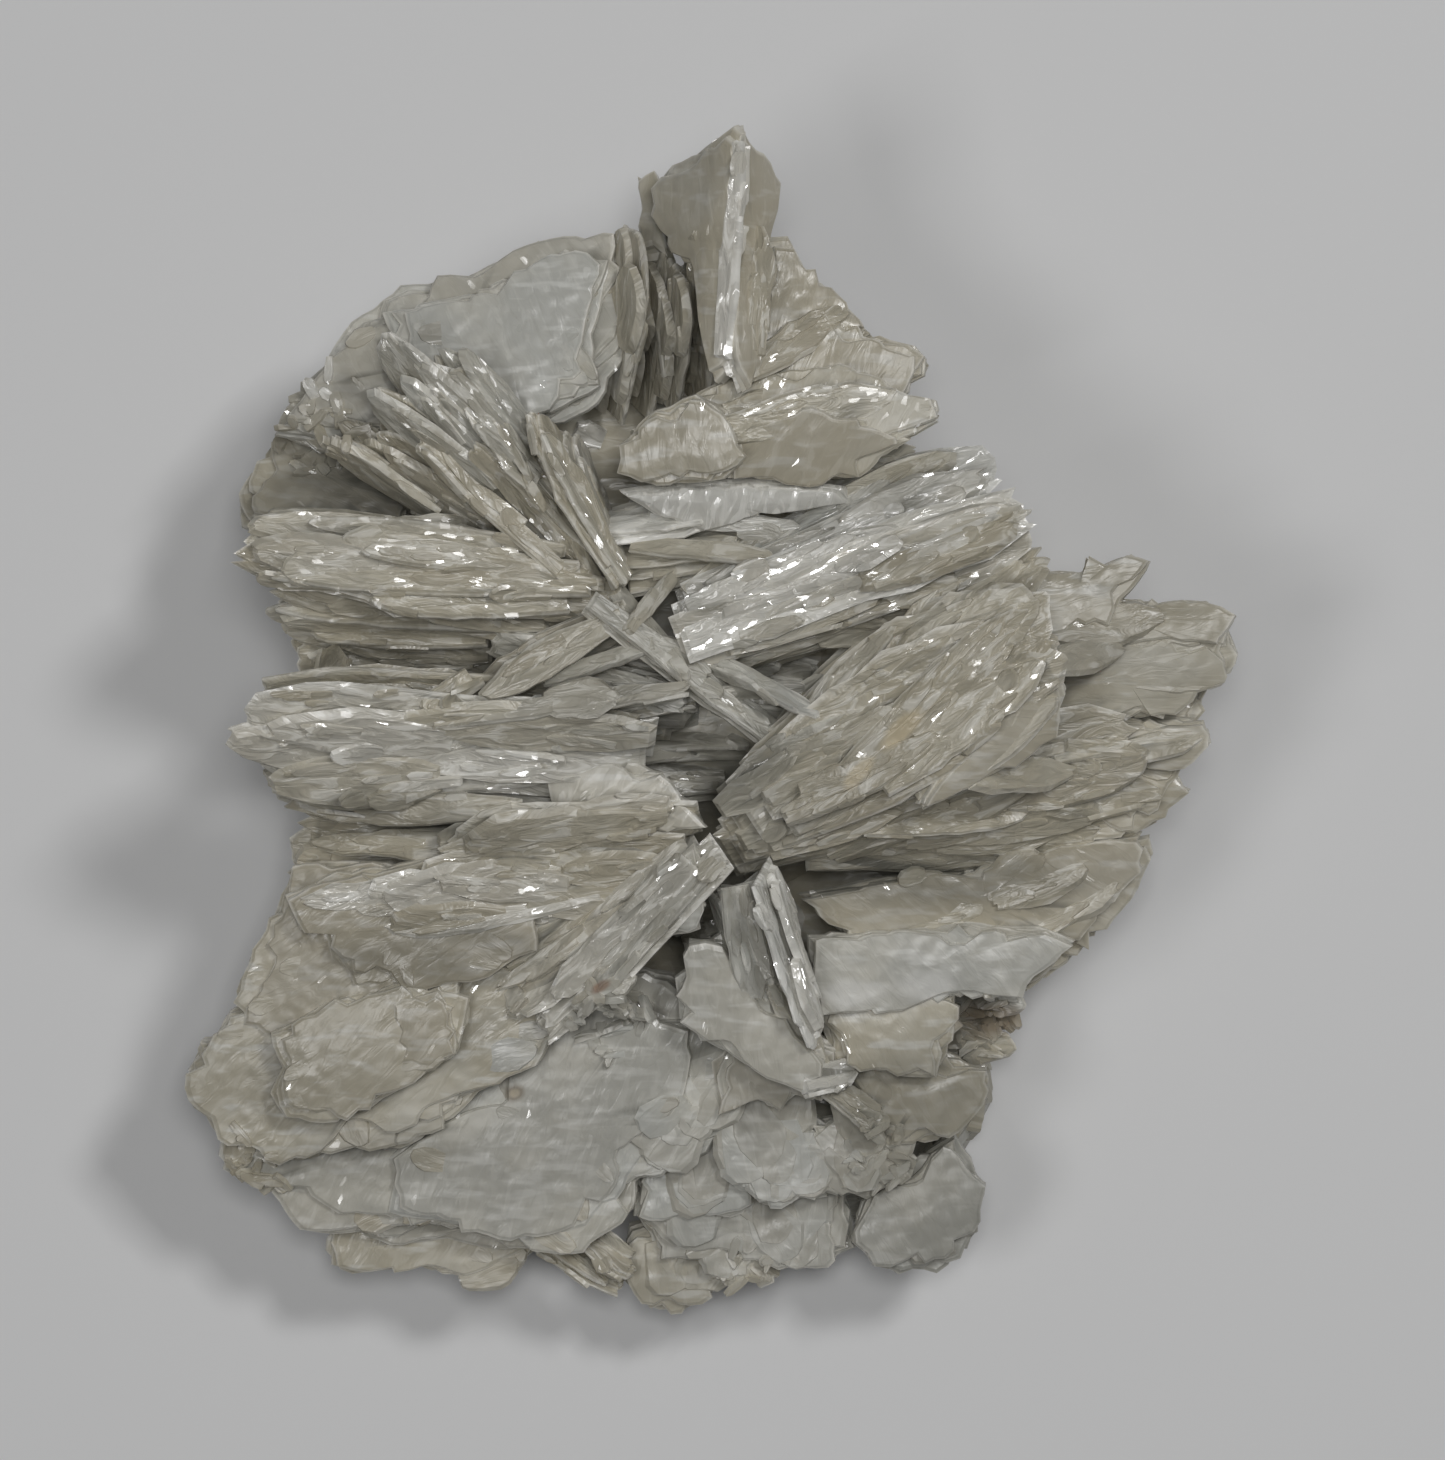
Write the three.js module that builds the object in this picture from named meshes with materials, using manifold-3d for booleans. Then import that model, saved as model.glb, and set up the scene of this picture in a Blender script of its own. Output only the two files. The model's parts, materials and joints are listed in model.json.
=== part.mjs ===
// A cluster of bladed barite: thin tabular crystals grown together in open rosettes, broken off flat underneath.
// Millimetres, +Z up, +X to the right and +Y to the far end. The flat underside lies on z = 0, centred under the
// cluster. The crystals grew into each other, so the whole cluster is one solid.
import * as THREE from "three";
import { mergeVertices } from "three/addons/utils/BufferGeometryUtils.js";
import Module from "manifold-3d";

const wasm = await Module();
wasm.setup();

const CHAMFER_SHARE = 0.6; // how far a crystal's upper face is drawn in, as a share of its thickness
const SIMPLIFY_MM = 0.5; // facets smaller than this are merged after the crystals are joined
const CUT_Z = -2.5; // the flat cut underneath, on the height scale that the tables use

// Half widths of a blade along its length, from root to tip, as shares of its length and half width.
const PROFILES = {
  lath: [[0, 0.8], [0.8, 1], [1, 0.4]],
  leaf: [[0, 0.5], [0.45, 1], [0.82, 0.75], [1, 0.16]],
  crest: [[0, 0.45], [0.75, 1], [1, 0.5]],
};

// Massive barite that the crystals stand on: [centre x, y, z, radius x, y, z] of each lump.
const LUMPS = [
  [-3, 3, 3, 16, 14, 10],
  [-10, -15, 0, 11, 9, 8],
  [7, -20, 0, 8.5, 8, 6],
  [-6, 14, 2, 11, 8, 9.5],
  [12, 1, 2, 10, 10, 12],
  [4, -1, 3, 9, 9, 8.5],
  [10, -11, 0, 9, 8, 8.5],
];

// Broad plates: [height at the middle, compass heading that the face leans to, lean in degrees from level,
// thickness, outline as seen from above].
const PLATES = [
  // north-west disc and its terraces
  [14.6, 120, 14, 1.7, [[-24.6, 16.5], [-22.6, 19.7], [-20.3, 22.9], [-17.5, 25], [-13, 25.6],
    [-9.5, 27.3], [-5, 27.7], [-3.6, 25.5], [-4.6, 21], [-6.2, 18.2], [-12.5, 14.5], [-19.5, 15.6]]],
  [16.2, 120, 12, 1.2, [[-18.5, 23.3], [-13, 24.6], [-8, 26.8], [-5.4, 26.3], [-6.5, 22], [-6, 19],
    [-11, 16.5], [-17, 19]]],
  [13.6, 140, 22, 1.4, [[-24.5, 16.6], [-23.4, 18.4], [-21.2, 20.9], [-19, 20.6], [-18.6, 17.5],
    [-21.5, 15.2]]],
  // recess below the diagonal ridge
  [11.4, 110, 18, 1.5, [[-26.6, 11.4], [-26.7, 13.2], [-25.7, 15], [-24.4, 16.6], [-20, 17.2],
    [-15.5, 13], [-17.5, 10.6], [-23, 9.8]]],
  // plates stepping down the south-west corner
  [14.6, 250, 12, 1.3, [[-23.9, -9.6], [-23.2, -11.5], [-21.6, -11.6], [-21.4, -13.2], [-20, -14.6],
    [-16.5, -14.9], [-13, -14.4], [-9.5, -12.5], [-9.5, -9], [-16, -7.5], [-21, -8.2]]],
  [12.6, 205, 14, 1.5, [[-23.4, -7.6], [-25.2, -11.3], [-26.7, -14.4], [-26.9, -15.6], [-26.2, -16.8],
    [-24.5, -17.6], [-20, -17.5], [-14, -15.5], [-13, -11], [-18, -7.5]]],
  [13.5, 235, 10, 1.4, [[-24.9, -17.3], [-24.3, -19.3], [-24.9, -20.8], [-24, -22.2], [-21, -22.5],
    [-19, -21.6], [-16.5, -20], [-13.7, -18.2], [-13.4, -15.2], [-17, -14.2], [-21, -15.2]]],
  [14.5, 235, 10, 1.1, [[-17.6, -19.3], [-15.6, -19.4], [-14.2, -18.4], [-13.9, -16.4], [-15.2, -14.6],
    [-17.8, -15.4]]],
  [11.2, 235, 12, 1.7, [[-27.2, -16.2], [-29.7, -19.6], [-29.8, -21.2], [-28, -23.4], [-24.3, -24.8],
    [-20, -24], [-17.5, -24.1], [-15, -22.8], [-13, -20.8], [-9.5, -19], [-7.5, -15.5], [-12, -12],
    [-20, -12], [-25, -14.6]]],
  [9.6, 225, 14, 1.3, [[-28.8, -17.6], [-29.7, -20], [-28.8, -21.6], [-26.8, -21.7], [-25.6, -20],
    [-26.2, -17.8]]],
  [8.6, 250, 11, 2, [[-28, -23.4], [-27.7, -25.1], [-25, -26.5], [-23.6, -28.7], [-20.5, -29],
    [-18.3, -29.7], [-15, -29.4], [-12, -30], [-7, -29.8], [-4.3, -27.6], [-3.9, -25.8], [-0.5, -23.4],
    [1.5, -20.5], [2, -17], [-2, -14], [-8, -13], [-16, -17], [-24, -20.5]]],
  [10, 255, 11, 1.3, [[-18.3, -27.6], [-12, -29.2], [-7.5, -29], [-5, -27], [-3.6, -24.2], [-0.8, -21.6],
    [-1, -17], [-6, -14.5], [-11, -18.5], [-15, -21.5], [-18.4, -24.5]]],
  [5.6, 270, 8, 1.5, [[-22.1, -29.3], [-21.8, -30.8], [-20.5, -31.4], [-18, -31.1], [-16.5, -31.2],
    [-14.4, -31.4], [-12.7, -31.9], [-11, -31.2], [-9, -29], [-14, -25], [-20, -25]]],
  // grey plate at the edge of the central hollow
  [17, 235, 16, 1.1, [[-9.5, -2], [-5.5, -1.7], [-2.5, -2.5], [-1, -4.3], [0, -5.6], [-4, -6.4],
    [-8.6, -4.8]]],
  // middle of the south side
  [18.2, 270, 24, 1.1, [[-3, -7.8], [-0.8, -6.6], [0.2, -8.8], [-0.4, -11.6], [-2.5, -11.9], [-3.6, -10]]],
  [14.4, 255, 14, 1.4, [[-2, -14.2], [-1.2, -12], [0.6, -11.6], [2.2, -13.6], [4.5, -16.3], [6.6, -19],
    [6, -20.8], [4, -20.2], [2, -19], [-0.5, -17.7], [-1.8, -16.5]]],
  [11.6, 270, 14, 1.3, [[0.4, -21.9], [2.5, -21.2], [4, -21.8], [5, -21], [6.4, -21.3], [8, -19.7],
    [7.6, -18], [5, -17], [2, -17], [0, -19]]],
  [12.2, 280, 9, 1.5, [[5.6, -15], [10, -14.2], [14, -15], [14.4, -17], [13.5, -18.6], [13, -20],
    [9, -19.6], [7, -19.4]]],
  [9.8, 290, 12, 1.5, [[7.6, -18.6], [12, -18], [15.8, -19.3], [15.9, -20.5], [15.3, -22.2], [13, -23.6],
    [10, -24], [7.6, -22.6]]],
  // scales along the south edge
  [7, 290, 8, 1.7, [[10, -25.4], [12, -24.2], [14, -23.2], [15, -24.6], [15.8, -26], [15.5, -28.8],
    [14.4, -30.4], [13, -31.3], [10.8, -31.4], [9.3, -30.7], [8, -29.4], [8.6, -27]]],
  [8, 285, 10, 1.3, [[-4.2, -23.6], [0, -21.6], [3, -21.4], [4.8, -24], [3.5, -26], [2, -27.8],
    [-1, -28.8], [-4.4, -28]]],
  [9, 285, 10, 1.2, [[0.6, -22], [5, -21.2], [7.4, -23], [6.8, -26.8], [3.4, -27.6], [0.4, -25.6]]],
  [6.3, 280, 8, 1.5, [[-4.8, -26.5], [0, -25], [4.5, -25.5], [7.8, -25.4], [8.5, -29.8], [6.9, -30.8],
    [4, -31], [1, -30.6], [-3, -30.4]]],
  [8.8, 290, 10, 1.2, [[5.6, -22.4], [9, -21.6], [11.9, -22.6], [11.6, -25.6], [9, -27], [6.6, -26.2]]],
  [4.6, 270, 10, 1.7, [[-5.4, -31.4], [-3.5, -33.5], [-1.5, -33.7], [0.3, -32.6], [0.3, -30.4],
    [-1, -27.5], [-4.6, -28.5]]],
  [5.4, 280, 6, 1.4, [[0.3, -31.3], [0.8, -31.9], [2, -32.1], [2.5, -31.7], [3, -32.2], [3.8, -31.8],
    [3.8, -30.6], [3, -28.5], [0.6, -28.5]]],
  // spire at the north end, and the plate beside it
  [19.4, 180, 38, 1.3, [[1.5, 33.5], [0.2, 32.8], [-2.6, 31.1], [-3.1, 30.2], [-3, 27.8], [-1.8, 26.4],
    [-0.6, 24.6], [-0.2, 21.5], [0.4, 19], [1.6, 20], [1.8, 27], [1.9, 33]]],
  [19.4, 5, 42, 1.2, [[1.5, 33.4], [2.3, 32.4], [3.2, 31.8], [3.8, 30.6], [3.6, 28.5], [3.3, 25],
    [3, 21], [2, 18.5], [1.1, 20], [1, 27]]],
  [16.6, 50, 16, 1.5, [[3, 27.7], [4.4, 27.6], [5.3, 26], [7, 24.6], [8.2, 23.1], [9.4, 21.9], [7, 19.5],
    [3, 18.5], [1.4, 22.5]]],
  [14.6, 120, 25, 1, [[-4.1, 31.1], [-3, 31.3], [-2, 29.5], [-2.2, 26], [-3.8, 26], [-4, 28.5]]],
  // north-east rosette
  [17.6, 80, 9, 1.5, [[-1, 18.2], [4, 21.9], [6.5, 23], [9, 22.2], [11.6, 21.4], [12.4, 20.7],
    [12.2, 19.7], [10.8, 18.3], [6, 16.5], [0, 16.5]]],
  [19.2, 100, 12, 1.3, [[-4.5, 16.5], [-1.5, 18.3], [2, 20], [6, 20.4], [9.5, 19.8], [10.9, 18.5],
    [13, 18.2], [12.8, 17.1], [10.5, 15.6], [6, 14.6], [-1, 14.4]]],
  [20.6, 205, 14, 1.3, [[-5.3, 14], [-5, 15.7], [-3.8, 17.3], [-0.8, 18.5], [1, 17.5], [2.2, 15],
    [0.9, 13.6], [-3, 13.3]]],
  [19.8, 285, 22, 1.2, [[0.6, 13.7], [1, 16.8], [5, 18], [9, 17.2], [11.5, 16], [10, 15], [8.5, 13.9],
    [5.5, 13.4]]],
  [18.6, 270, 28, 0.9, [[-5.2, 13], [0, 13.7], [5, 13.5], [7.8, 13.2], [8, 12.6], [5, 12], [2, 11.6],
    [-0.6, 10.9], [-3.2, 11.8]]],
  // lip of the east shield
  [22.2, 300, 26, 1.3, [[11.4, -4.7], [13, -2.3], [16.5, 1.7], [19.4, 4.4], [20, 2], [19.4, -0.4],
    [17, -2.3], [14, -3.6]]],
  // fingers at the east end, and the plate that they lie on
  [12.8, 350, 8, 2, [[15, 7.5], [22, 7.8], [27, 6], [28.6, 3], [27.6, -0.5], [26, -3.5], [24, -6.6],
    [18, -7], [14, -4]]],
  [16.7, 60, 10, 1.6, [[16, 8.5], [20.9, 8.8], [21.2, 9.6], [22, 9.1], [23.8, 9.8], [24.9, 9.3],
    [23.8, 7.6], [22.3, 5.5], [17.5, 4.5]]],
  [15.6, 80, 14, 1.5, [[19, 6], [23.5, 7.3], [25.5, 7.2], [28.2, 7.1], [29.6, 6.1], [29.2, 4.6], [25, 4],
    [19, 3.5]]],
  [15.2, 300, 12, 1.5, [[17, 4.8], [24, 5.2], [29.3, 5.4], [29.8, 4], [29.5, 2.9], [27.8, 1.9],
    [26.8, 1], [25.5, 0.4], [21, 0], [17, 0.5]]],
  [14, 290, 13, 1.6, [[16, 1], [24, 0.6], [28, 0.3], [28.4, -1], [26.8, -2.3], [24, -3], [17, -3.2]]],
  [12.6, 310, 14, 1.5, [[15, -1.8], [22, -2.2], [26.2, -2.4], [27.4, -3.6], [26, -5.1], [24.8, -5.9],
    [20.5, -6.4], [15, -5.6]]],
  // shelves on the south-east side
  [12.2, 295, 15, 1.7, [[5, -9.6], [10, -8.6], [15, -7.6], [20.5, -6.4], [24.6, -6.1], [24.7, -8],
    [22.5, -10.3], [21, -12], [18, -12.6], [8, -12.4]]],
  [13.2, 285, 10, 1.6, [[5.4, -11.8], [14, -11], [19.4, -11.4], [20.7, -12.2], [18.6, -14],
    [17.7, -15.2], [13.5, -15.6], [10, -16.1], [6.2, -16.2]]],
  [10.6, 310, 12, 1.6, [[14, -10], [21, -7], [25.1, -6.2], [25.2, -7.2], [23.6, -10.2], [20.9, -13.2],
    [18, -15.2], [13.5, -15]]],
];

// Sheaves of sub-parallel blades: [profile, number of blades, thickness, first blade, last blade]. A blade is
// [root x, y, z, tip x, y, z, width, compass heading that its face leans to, lean in degrees from level].
const SHEAVES = [
  // diagonal ridge in the north-west
  ["leaf", 3, 1.2, [-5, 9.5, 16, -14, 20.5, 20.5, 5, 40, 50], [-7, 8.5, 16, -18.6, 21.8, 21, 5, 225, 42]],
  ["leaf", 3, 1.2, [-6.5, 8.2, 15.5, -19, 19, 19.5, 5.5, 225, 46],
    [-9.5, 8, 13, -21.6, 16.2, 17, 5, 225, 58]],
  ["crest", 2, 1.1, [-4.6, 8.2, 17, -9.8, 17.8, 20, 5, 30, 32], [-4.8, 8, 16, -8, 16.5, 18.5, 5.5, 20, 45]],
  // western fan, opening north and south from its crest
  ["leaf", 2, 1.2, [-8, 9, 13.5, -25.6, 11.6, 15.6, 6, 90, 48], [-6, 7.8, 16, -26.2, 10, 19, 6.5, 90, 16]],
  ["leaf", 3, 1.2, [-5, 7, 16.5, -26.9, 9.2, 19.8, 5.5, 270, 18],
    [-6.5, 5, 13.5, -25.4, 6.4, 15.6, 6.5, 270, 58]],
  ["crest", 2, 1.3, [-13, 5.6, 13.5, -24.5, 6.3, 15, 4, 270, 30],
    [-12, 3.6, 12.2, -23.6, 4, 13.2, 5, 270, 22]],
  // crossed laths over the western trough
  ["lath", 2, 1, [-0.5, 1.6, 16.5, -12.4, 4.6, 15, 3.4, 250, 40],
    [-1.5, 1.8, 15.5, -11, 2.2, 13.5, 4, 270, 55]],
  ["lath", 2, 0.9, [-4.6, 6, 17, -10.6, 3.6, 15, 2.6, 100, 50],
    [-5.5, 4.6, 14.5, -13.6, 0.8, 12, 2.6, 110, 60]],
  ["lath", 2, 0.9, [-13.2, 3.8, 10.5, -16.6, 0.7, 12.2, 2.4, 130, 55],
    [-15.8, 4, 10.5, -18.8, 1.8, 12, 2.4, 130, 60]],
  // laths that lie along the trough and under the crossing lath
  ["lath", 2, 1, [-0.8, 2, 17.4, -14.5, 0, 17.6, 2.8, 80, 44],
    [-1.6, 1.7, 17.8, -9.4, 3.2, 16.6, 2.4, 265, 30]],
  ["leaf", 2, 1, [-4.6, 6.4, 17.2, -13, 1.6, 15.2, 3.4, 225, 34],
    [-4.4, 5, 17, -12, 1.4, 14.6, 3.2, 225, 48]],
  ["lath", 2, 1.1, [2, -0.8, 11.6, -10, -0.6, 14.2, 3, 90, 40], [1, -3, 11.6, -9, -2.8, 13.2, 3, 90, 24]],
  // long western ridge
  ["crest", 3, 1.2, [-1, 0.8, 15.5, -25.7, 1.7, 19.6, 6.5, 268, 52],
    [-3, -0.8, 17, -26.8, 0, 21, 7, 268, 40]],
  ["crest", 3, 1.2, [-3.5, -1.6, 17.6, -25.6, -1.4, 19.2, 7, 268, 34],
    [-5.5, -4, 15, -23.6, -2.8, 16, 6.5, 268, 28]],
  // shelves below it
  ["crest", 2, 1.4, [-5, -4.8, 14, -25.2, -2.8, 14, 5.5, 270, 30],
    [-3, -6.6, 14, -23.2, -5.6, 12.5, 6.5, 270, 28]],
  ["crest", 3, 1.2, [-0.5, -5.2, 17.5, -15, -6.8, 17, 5.5, 265, 30],
    [-2.5, -10, 15.6, -19.5, -10.2, 15.8, 5, 265, 30]],
  ["crest", 1, 2, [-12, -8, 12, -24, -7.6, 11.6, 6, 250, 20], [-12, -8, 12, -24, -7.6, 11.6, 6, 250, 20]],
  // blades spreading from the southern centre
  ["lath", 2, 1.2, [0.6, -6.8, 19, -9.6, -17.2, 15, 4, 135, 30],
    [-2, -7.5, 17, -12.5, -15.5, 13.6, 5, 135, 22]],
  ["lath", 3, 0.9, [3.2, -8, 18.5, 6.4, -18, 14.6, 5, 15, 66], [0.8, -9.5, 16.5, 2.6, -15, 14, 4, 200, 70]],
  ["lath", 1, 0.8, [6.4, -20, 11.8, 10.2, -22.6, 11.2, 1.8, 60, 40],
    [6.4, -20, 11.8, 10.2, -22.6, 11.2, 1.8, 60, 40]],
  ["lath", 2, 0.7, [-8, -28, 6.4, -4.2, -31.2, 6.4, 2, 60, 40],
    [-10.5, -28.6, 5.4, -5, -31.8, 5.4, 2, 60, 40]],
  // pages between the disc and the spire
  ["crest", 4, 1, [-5.6, 17.4, 12.5, -4.6, 27.6, 16.5, 7, 180, 70],
    [0.3, 18.6, 13, -0.2, 26, 18, 7.5, 180, 64]],
  // small blades under the white lath
  ["lath", 2, 1.1, [-6, 11.2, 16.5, 1, 12, 17.8, 3.2, 90, 40],
    [-4.6, 8.6, 15.6, 4.6, 11, 17.5, 4, 105, 30]],
  // glittering book east of the centre
  ["lath", 2, 1.5, [-0.5, 7.4, 17.5, 16.2, 14.6, 19.6, 5.4, 112, 22],
    [-1.6, 5.2, 20, 17.6, 12, 23, 5.5, 112, 12]],
  ["lath", 2, 1.6, [-1.6, 4.4, 19.6, 18, 11, 22.6, 5, 292, 20], [-1, 2.8, 17, 18.4, 9.2, 20, 5, 292, 52]],
  // laths low in the eastern gap
  ["lath", 2, 0.9, [-1.5, 3.2, 13.2, 6.4, 2.6, 14, 2.6, 270, 40], [0, 1, 12, 6, 0, 12.4, 2.6, 270, 40]],
  // long lath that crosses the centre
  ["lath", 1, 1.2, [-6.6, 7, 19.6, 6.2, -2, 18.8, 2.3, 40, 28],
    [-6.6, 7, 19.6, 6.2, -2, 18.8, 2.3, 40, 28]],
  // east shield
  ["leaf", 2, 1.6, [4, -1, 18, 18.4, 9.6, 21.4, 7, 128, 30], [2.6, -3.6, 20, 19, 7, 24.6, 9, 128, 8]],
  ["leaf", 3, 1.4, [2, -4.8, 19.6, 19.4, 5, 24.4, 9, 308, 14], [1, -7.4, 16.6, 18.6, -0.4, 20, 8, 308, 40]],
  // long blades below the shield
  ["crest", 3, 1.3, [7, -4.2, 16.5, 24.6, -0.6, 16, 5.5, 285, 22],
    [5.4, -7.4, 15, 22.6, -5.4, 13.4, 5.5, 285, 34]],
  // small crystals at the south-east notch
  ["leaf", 2, 1.2, [8, -12, 6, 18.4, -15.8, 8.4, 4, 330, 35],
    [6, -17.5, 4.5, 17.6, -18.6, 6.6, 4.5, 300, 25]],
];

// Low crystals all round that reach out from under the rosettes: [compass heading, reach, height of the upper tier].
const SKIRT = [
  [0, 24, 6.4], [32, 19.5, 6.6], [64, 20, 7], [96, 25, 6.2], [128, 24.5, 6], [160, 23.5, 6],
  [194, 22, 5], [226, 28, 3.4], [256, 29, 2.2], [286, 28.5, 2], [324, 20.5, 5],
];
const TIERS = [
  { rise: 0.6, reach: 0.92, width: 15, lean: 14 },
  { rise: 1.6, reach: 1, width: 14, lean: 26 },
];
const LOWER_TIER_Z = 1.2;
const SKIRT_ROOT = 0.3; // where these crystals start, as a share of their reach
const SKIRT_THICKNESS = 1.7;

// A repeatable number from -1 to 1: the k-th thing that varies on crystal i.
const vary = (i, k) => Math.sin(i * 12.9898 + k * 78.233);

const radians = THREE.MathUtils.degToRad;
const facing = (heading, lean) =>
  new THREE.Vector3(
    Math.sin(radians(lean)) * Math.cos(radians(heading)),
    Math.sin(radians(lean)) * Math.sin(radians(heading)),
    Math.cos(radians(lean)),
  );

// A closed three.js geometry as a manifold-3d solid.
function solid(geometry) {
  const shell = geometry.clone();
  shell.deleteAttribute("normal");
  shell.deleteAttribute("uv");
  const merged = mergeVertices(shell.index ? shell.toNonIndexed() : shell, 1e-4);
  return new wasm.Manifold(
    new wasm.Mesh({
      numProp: 3,
      vertProperties: merged.attributes.position.array,
      triVerts: new Uint32Array(merged.index.array),
    }),
  );
}

// A tabular crystal lying in its own XY plane: the upper face is drawn in all round, which chamfers the rim.
function tabular(outline, thickness) {
  const shape = new THREE.Shape(outline);
  const geometry = new THREE.ExtrudeGeometry(shape, { depth: thickness, bevelEnabled: false });
  geometry.translate(0, 0, -thickness / 2);
  const middle = outline.reduce((sum, p) => sum.add(p), new THREE.Vector2()).divideScalar(outline.length);
  const position = geometry.attributes.position;
  const p = new THREE.Vector2();
  for (let i = 0; i < position.count; i++) {
    if (position.getZ(i) < 0) continue;
    p.set(position.getX(i), position.getY(i)).sub(middle);
    p.setLength(Math.max(p.length() - CHAMFER_SHARE * thickness, p.length() / 2)).add(middle);
    position.setXY(i, p.x, p.y);
  }
  return geometry;
}

function plate([height, heading, lean, thickness, corners]) {
  const n = facing(heading, lean);
  const middle = corners.reduce((sum, [x, y]) => sum.add(new THREE.Vector3(x, y, 0)), new THREE.Vector3());
  middle.divideScalar(corners.length).setZ(height);
  const u = new THREE.Vector3(1, 0, -n.x / n.z).normalize();
  const v = new THREE.Vector3().crossVectors(n, u);
  const outline = corners.map(([x, y]) => {
    const z = height - (n.x * (x - middle.x) + n.y * (y - middle.y)) / n.z;
    const arm = new THREE.Vector3(x, y, z).sub(middle);
    return new THREE.Vector2(arm.dot(u), arm.dot(v));
  });
  if (THREE.ShapeUtils.isClockWise(outline)) outline.reverse();
  const frame = new THREE.Matrix4().makeBasis(u, v, n).setPosition(middle);
  return tabular(outline, thickness).applyMatrix4(frame);
}

function blade(profile, thickness, root, tip, width, towards, seed) {
  const u = new THREE.Vector3().subVectors(tip, root);
  const length = u.length();
  u.normalize();
  const n = towards.clone().addScaledVector(u, -towards.dot(u)).normalize();
  const v = new THREE.Vector3().crossVectors(n, u);
  const side = (sign, k) =>
    PROFILES[profile].map(
      ([along, half], j) =>
        new THREE.Vector2(along * length, (sign * half * width * (1 + 0.12 * vary(seed, k + j))) / 2),
    );
  const outline = [...side(-1, 0), ...side(1, 7).reverse()];
  const frame = new THREE.Matrix4().makeBasis(u, v, n).setPosition(root);
  return tabular(outline, thickness).applyMatrix4(frame);
}

function sheaf([profile, count, thickness, first, last], seed) {
  const blades = [];
  for (let j = 0; j < count; j++) {
    const share = count > 1 ? j / (count - 1) : 0;
    const mix = first.map((a, k) => a + (last[k] - a) * share);
    const root = new THREE.Vector3(mix[0], mix[1], mix[2]);
    const tip = new THREE.Vector3(mix[3], mix[4], mix[5]);
    const towards = facing(first[7], first[8]).lerp(facing(last[7], last[8]), share).normalize();
    tip.lerp(root, 0.05 * (count > 1 ? 1 + vary(seed, j) : 0));
    blades.push(blade(profile, thickness, root, tip, mix[6], towards, seed + j));
  }
  return blades;
}

function skirt([heading, reach, upper], i) {
  return TIERS.map((tier, k) => {
    const out = facing(heading + 6 * vary(i, k), 90);
    const z = k > 0 ? upper : LOWER_TIER_Z;
    const tip = out.clone().multiplyScalar(reach * tier.reach).setZ(z + tier.rise * (1 + vary(i, k + 3)));
    const root = out.clone().multiplyScalar(reach * SKIRT_ROOT).setZ(z);
    const towards = facing(heading + 90, tier.lean * vary(i, k + 5));
    const width = tier.width * (1 + 0.2 * vary(i, k + 1));
    return blade("crest", SKIRT_THICKNESS, root, tip, width, towards, i + k);
  });
}

function lump([x, y, z, rx, ry, rz]) {
  return new THREE.IcosahedronGeometry(1, 1).scale(rx, ry, rz).translate(x, y, z);
}

const crystals = [
  ...LUMPS.map(lump),
  ...PLATES.map(plate),
  ...SHEAVES.flatMap((row, i) => sheaf(row, i * 10)),
  ...SKIRT.flatMap(skirt),
];
const grown = wasm.Manifold.union(crystals.map(solid));
const bodies = grown.trimByPlane([0, 0, 1], CUT_Z).simplify(SIMPLIFY_MM).decompose();
// The largest body is the cluster; pinholes sealed between crystals come out as bodies of their own and are left out.
const cluster = bodies.reduce((largest, body) => (body.volume() > largest.volume() ? body : largest));

const mesh = cluster.getMesh();
const geometry = new THREE.BufferGeometry();
geometry.setAttribute("position", new THREE.BufferAttribute(mesh.vertProperties, 3));
geometry.setIndex(new THREE.BufferAttribute(mesh.triVerts, 1));
geometry.computeBoundingBox();
const middle = geometry.boundingBox.getCenter(new THREE.Vector3());
geometry.translate(-middle.x, -middle.y, -CUT_Z);

const barite = new THREE.MeshStandardMaterial({ color: 0xb9b4a4, roughness: 0.35, metalness: 0 });
const piece = new THREE.Mesh(geometry, barite);
piece.name = "barite_cluster";

const group = new THREE.Group();
group.add(piece);
export default group;
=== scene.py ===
import json
import math

import bpy
from mathutils import Matrix, Vector
from mathutils.bvhtree import BVHTree

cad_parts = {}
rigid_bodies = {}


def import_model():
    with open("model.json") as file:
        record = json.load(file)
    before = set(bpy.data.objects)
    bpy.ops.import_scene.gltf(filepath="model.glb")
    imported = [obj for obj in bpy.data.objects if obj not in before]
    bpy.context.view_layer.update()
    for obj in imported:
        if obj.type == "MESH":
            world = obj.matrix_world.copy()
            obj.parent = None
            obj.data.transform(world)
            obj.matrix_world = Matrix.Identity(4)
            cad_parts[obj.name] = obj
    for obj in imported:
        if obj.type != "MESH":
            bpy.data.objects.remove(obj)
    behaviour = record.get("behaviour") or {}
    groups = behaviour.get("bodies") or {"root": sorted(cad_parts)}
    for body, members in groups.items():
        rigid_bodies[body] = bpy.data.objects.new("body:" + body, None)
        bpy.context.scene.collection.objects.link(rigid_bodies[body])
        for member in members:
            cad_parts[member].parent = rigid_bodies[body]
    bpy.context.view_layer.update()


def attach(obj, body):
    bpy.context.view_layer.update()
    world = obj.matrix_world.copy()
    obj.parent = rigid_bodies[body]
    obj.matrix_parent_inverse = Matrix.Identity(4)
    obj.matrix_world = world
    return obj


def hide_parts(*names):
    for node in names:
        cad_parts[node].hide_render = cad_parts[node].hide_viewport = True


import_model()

# View -----------------------------------------------------
# The cluster lies on a plain pale floor and is seen from straight above. A soft key light to the upper
# right throws short shadows to the lower left, a broad one opens them, and one overhead evens out the rest.
FLOOR_M = 3.0
PALE_GREY = (0.80, 0.80, 0.80, 1)
CAMERA_AT = (0.000756, -0.000168, 0.6025)
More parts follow.
